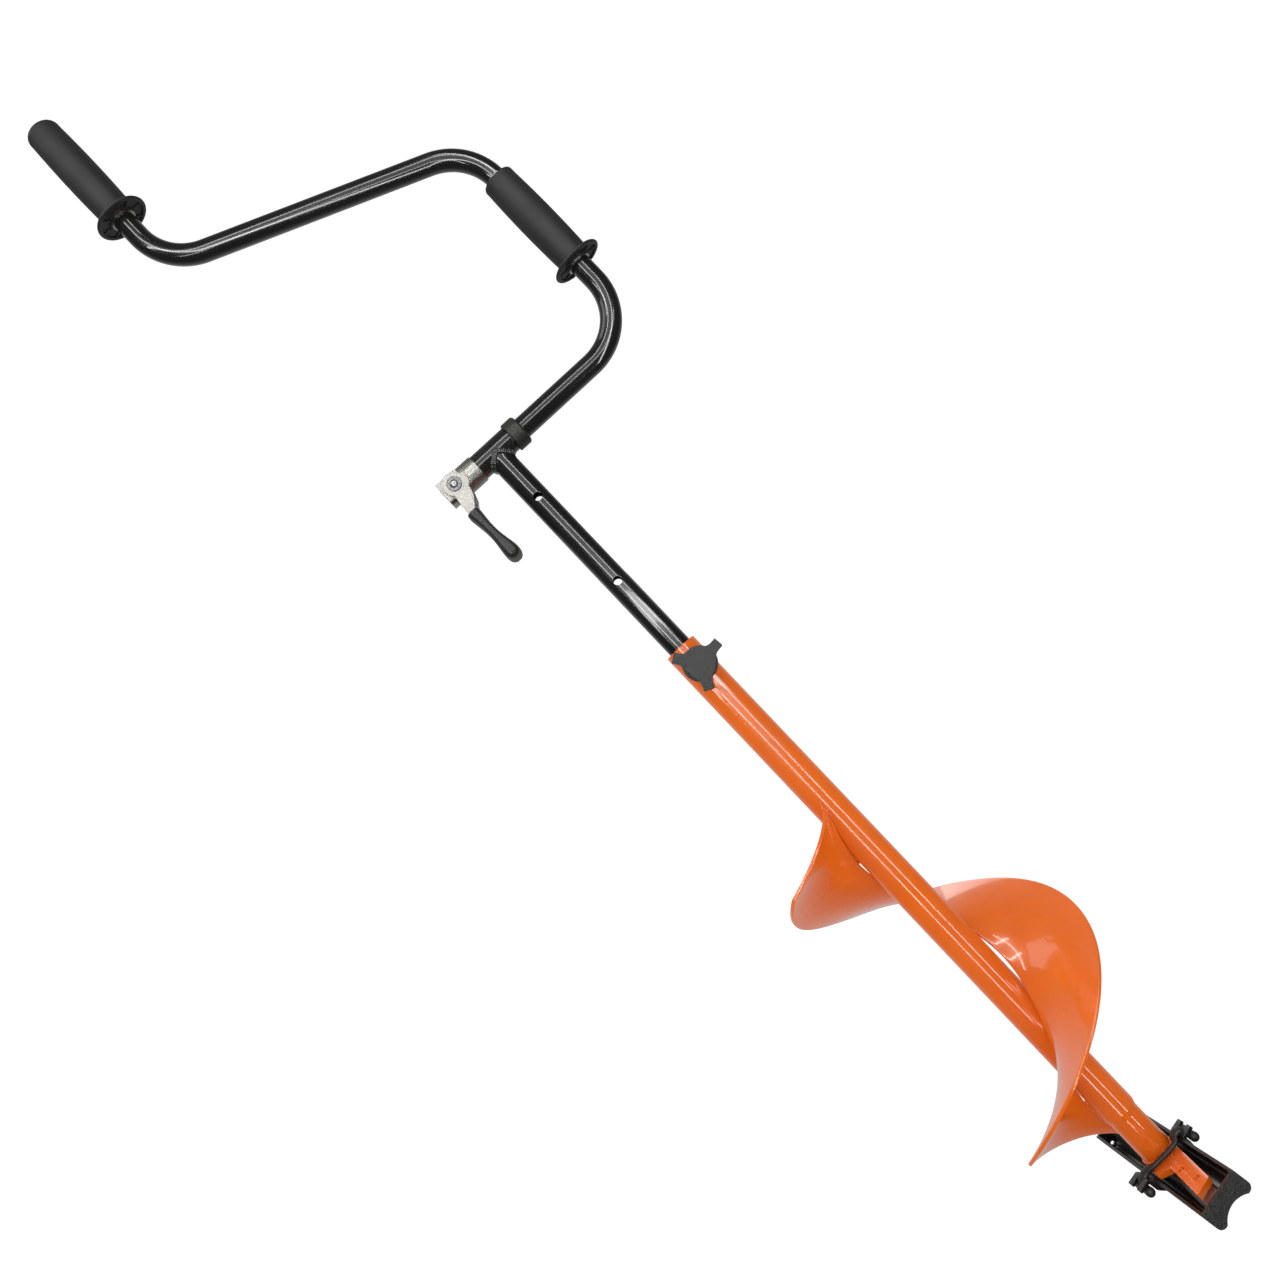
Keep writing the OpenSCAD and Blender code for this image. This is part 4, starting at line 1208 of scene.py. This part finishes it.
def stage():
    """A pale floor that rises into a seamless pale dome, low enough for the guard to come off."""
    guard_travel = JOINTS["guard_pull"]["range_m"][1]
    floor_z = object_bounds()[0][2] - guard_travel - 2 * MM
    radius = 4.5
    profile = [(0, floor_z)] + [(r, floor_z) for r in (1.0, 2.2, 3.2)]
    profile += [(3.2 + (radius - 3.2) * sin(a), floor_z + 1.3 * (1 - cos(a)))
        for a in (radians(10 * s) for s in range(1, 10))]
    profile += [(radius * cos(a), floor_z + 1.3 + radius * sin(a))
        for a in (radians(10 * s) for s in range(1, 9))] + [(0, floor_z + 1.3 + radius)]
    dome = new_object("studio", lathe("studio", profile, (0, 0, 0), steps=128))
    material = bpy.data.materials.new("studio_white")
    material.use_nodes = True
    tree = material.node_tree
    tree.nodes.clear()
    white = made(tree, "ShaderNodeEmission", {"Color": (1, 1, 1, 1), "Strength": 0.93})
    grey = made(tree, "ShaderNodeBsdfDiffuse", {"Color": (0.16, 0.16, 0.16, 1)})
    shaded = made(tree, "ShaderNodeAddShader", {0: white, 1: grey})
    air = made(tree, "ShaderNodeEmission", {"Color": (1, 1, 1, 1), "Strength": 0.88})
    ray = wire(tree, "ShaderNodeLightPath").outputs["Is Camera Ray"]
    mixed = made(tree, "ShaderNodeMixShader", {0: ray, 1: air, 2: shaded})
    wire(tree, "ShaderNodeOutputMaterial", {"Surface": mixed})
    dome.data.materials.append(material)
    dome.visible_glossy = False
    dome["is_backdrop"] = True


def strip_light(name, place, aim, length, width, power):
    data = fill(bpy.data.lights.new(name, "AREA"), dict(shape="RECTANGLE", size=width,
        size_y=length, energy=power))
    light = new_object(name, data)
    away = (Vector(place) - Vector(aim)).normalized()
    up = Vector((0, 0, 1)) if abs(away.z) < 0.9 else Vector((0, 1, 0))
    side = up.cross(away).normalized()
    light.matrix_world = facing(side, away.cross(side), away, place)
    return light


def lights():
    centre = (0, 0, 0.15)
    strips = [strip_light("left_strip", (-0.42, -1.55, 0.15), (0, 0, 0.15), 3.6, 0.12, 17),
        strip_light("right_strip", (0.78, -1.45, 0.15), (0, 0, 0.15), 3.6, 0.12, 17),
        strip_light("low_strip", (0.0, -1.45, 0.30), (0, 0, 0.4), 0.09, 2.8, 7),
        strip_light("high_strip", (0.0, -1.30, 1.25), (0, 0, 0.5), 0.09, 2.8, 9)]
    for strip in strips:
        strip.visible_diffuse = False
    strip_light("front_fill", (0.0, -3.0, 1.3), centre, 2.4, 2.4, 14)
    strip_light("top_fill", (-0.9, -0.6, 2.6), centre, 1.6, 1.6, 12)
    strip_light("back_fill", (0.8, 2.4, 1.2), centre, 1.4, 1.4, 8)
    world = bpy.data.worlds.new("studio_air")
    bpy.context.scene.world = world
    world.use_nodes = True
    tree = world.node_tree
    toward = wire(tree, "ShaderNodeTexCoord").outputs["Generated"]
    depth = wire(tree, "ShaderNodeSeparateXYZ", {0: toward}).outputs["Y"]
    glow = made(tree, "ShaderNodeMapRange", {"Value": depth, "From Min": 0.1, "From Max": 0.9,
        "To Min": 0.05, "To Max": 0.55})
    tree.links.new(glow, tree.nodes["Background"].inputs["Strength"])
    tree.nodes["Background"].inputs["Color"].default_value = (1, 1, 1, 1)


# ---- the object

drill_tube()
lock_boss()
flight()
flight_welds()
blade_plate()
blades()
blade_screws()
blade_guard()
guard_lugs()
strap_bars()
strap_band()
post()
socket()
socket_weld()
crank()
collar()
clamp_sleeve()
lever()
lever_grip()
lever_pin()
grip("top_grip", "upper_grip", TOP_X, "top_handle", True)
grip("side_grip", "lower_grip", SIDE_X, "side_handle", False)
star_knob()

CAD_FINISHES = {"guide_bush": BUSH_PLASTIC, "post_foot": BLACK_PLASTIC, "collar_pin": ZINC_STEEL,
    "draw_plug": ZINC_STEEL, "upper_end_plug": BLACK_PLASTIC, "grip_rings": ZINC_STEEL,
    "lock_screw": ZINC_STEEL}
for node_name, finish in CAD_FINISHES.items():
    shown = frame["nodes"][node_name]
    shown.data.materials.clear()
    shown.data.materials.append(finish)

stage()
lights()
bpy.context.scene.view_settings.view_transform = "Standard"
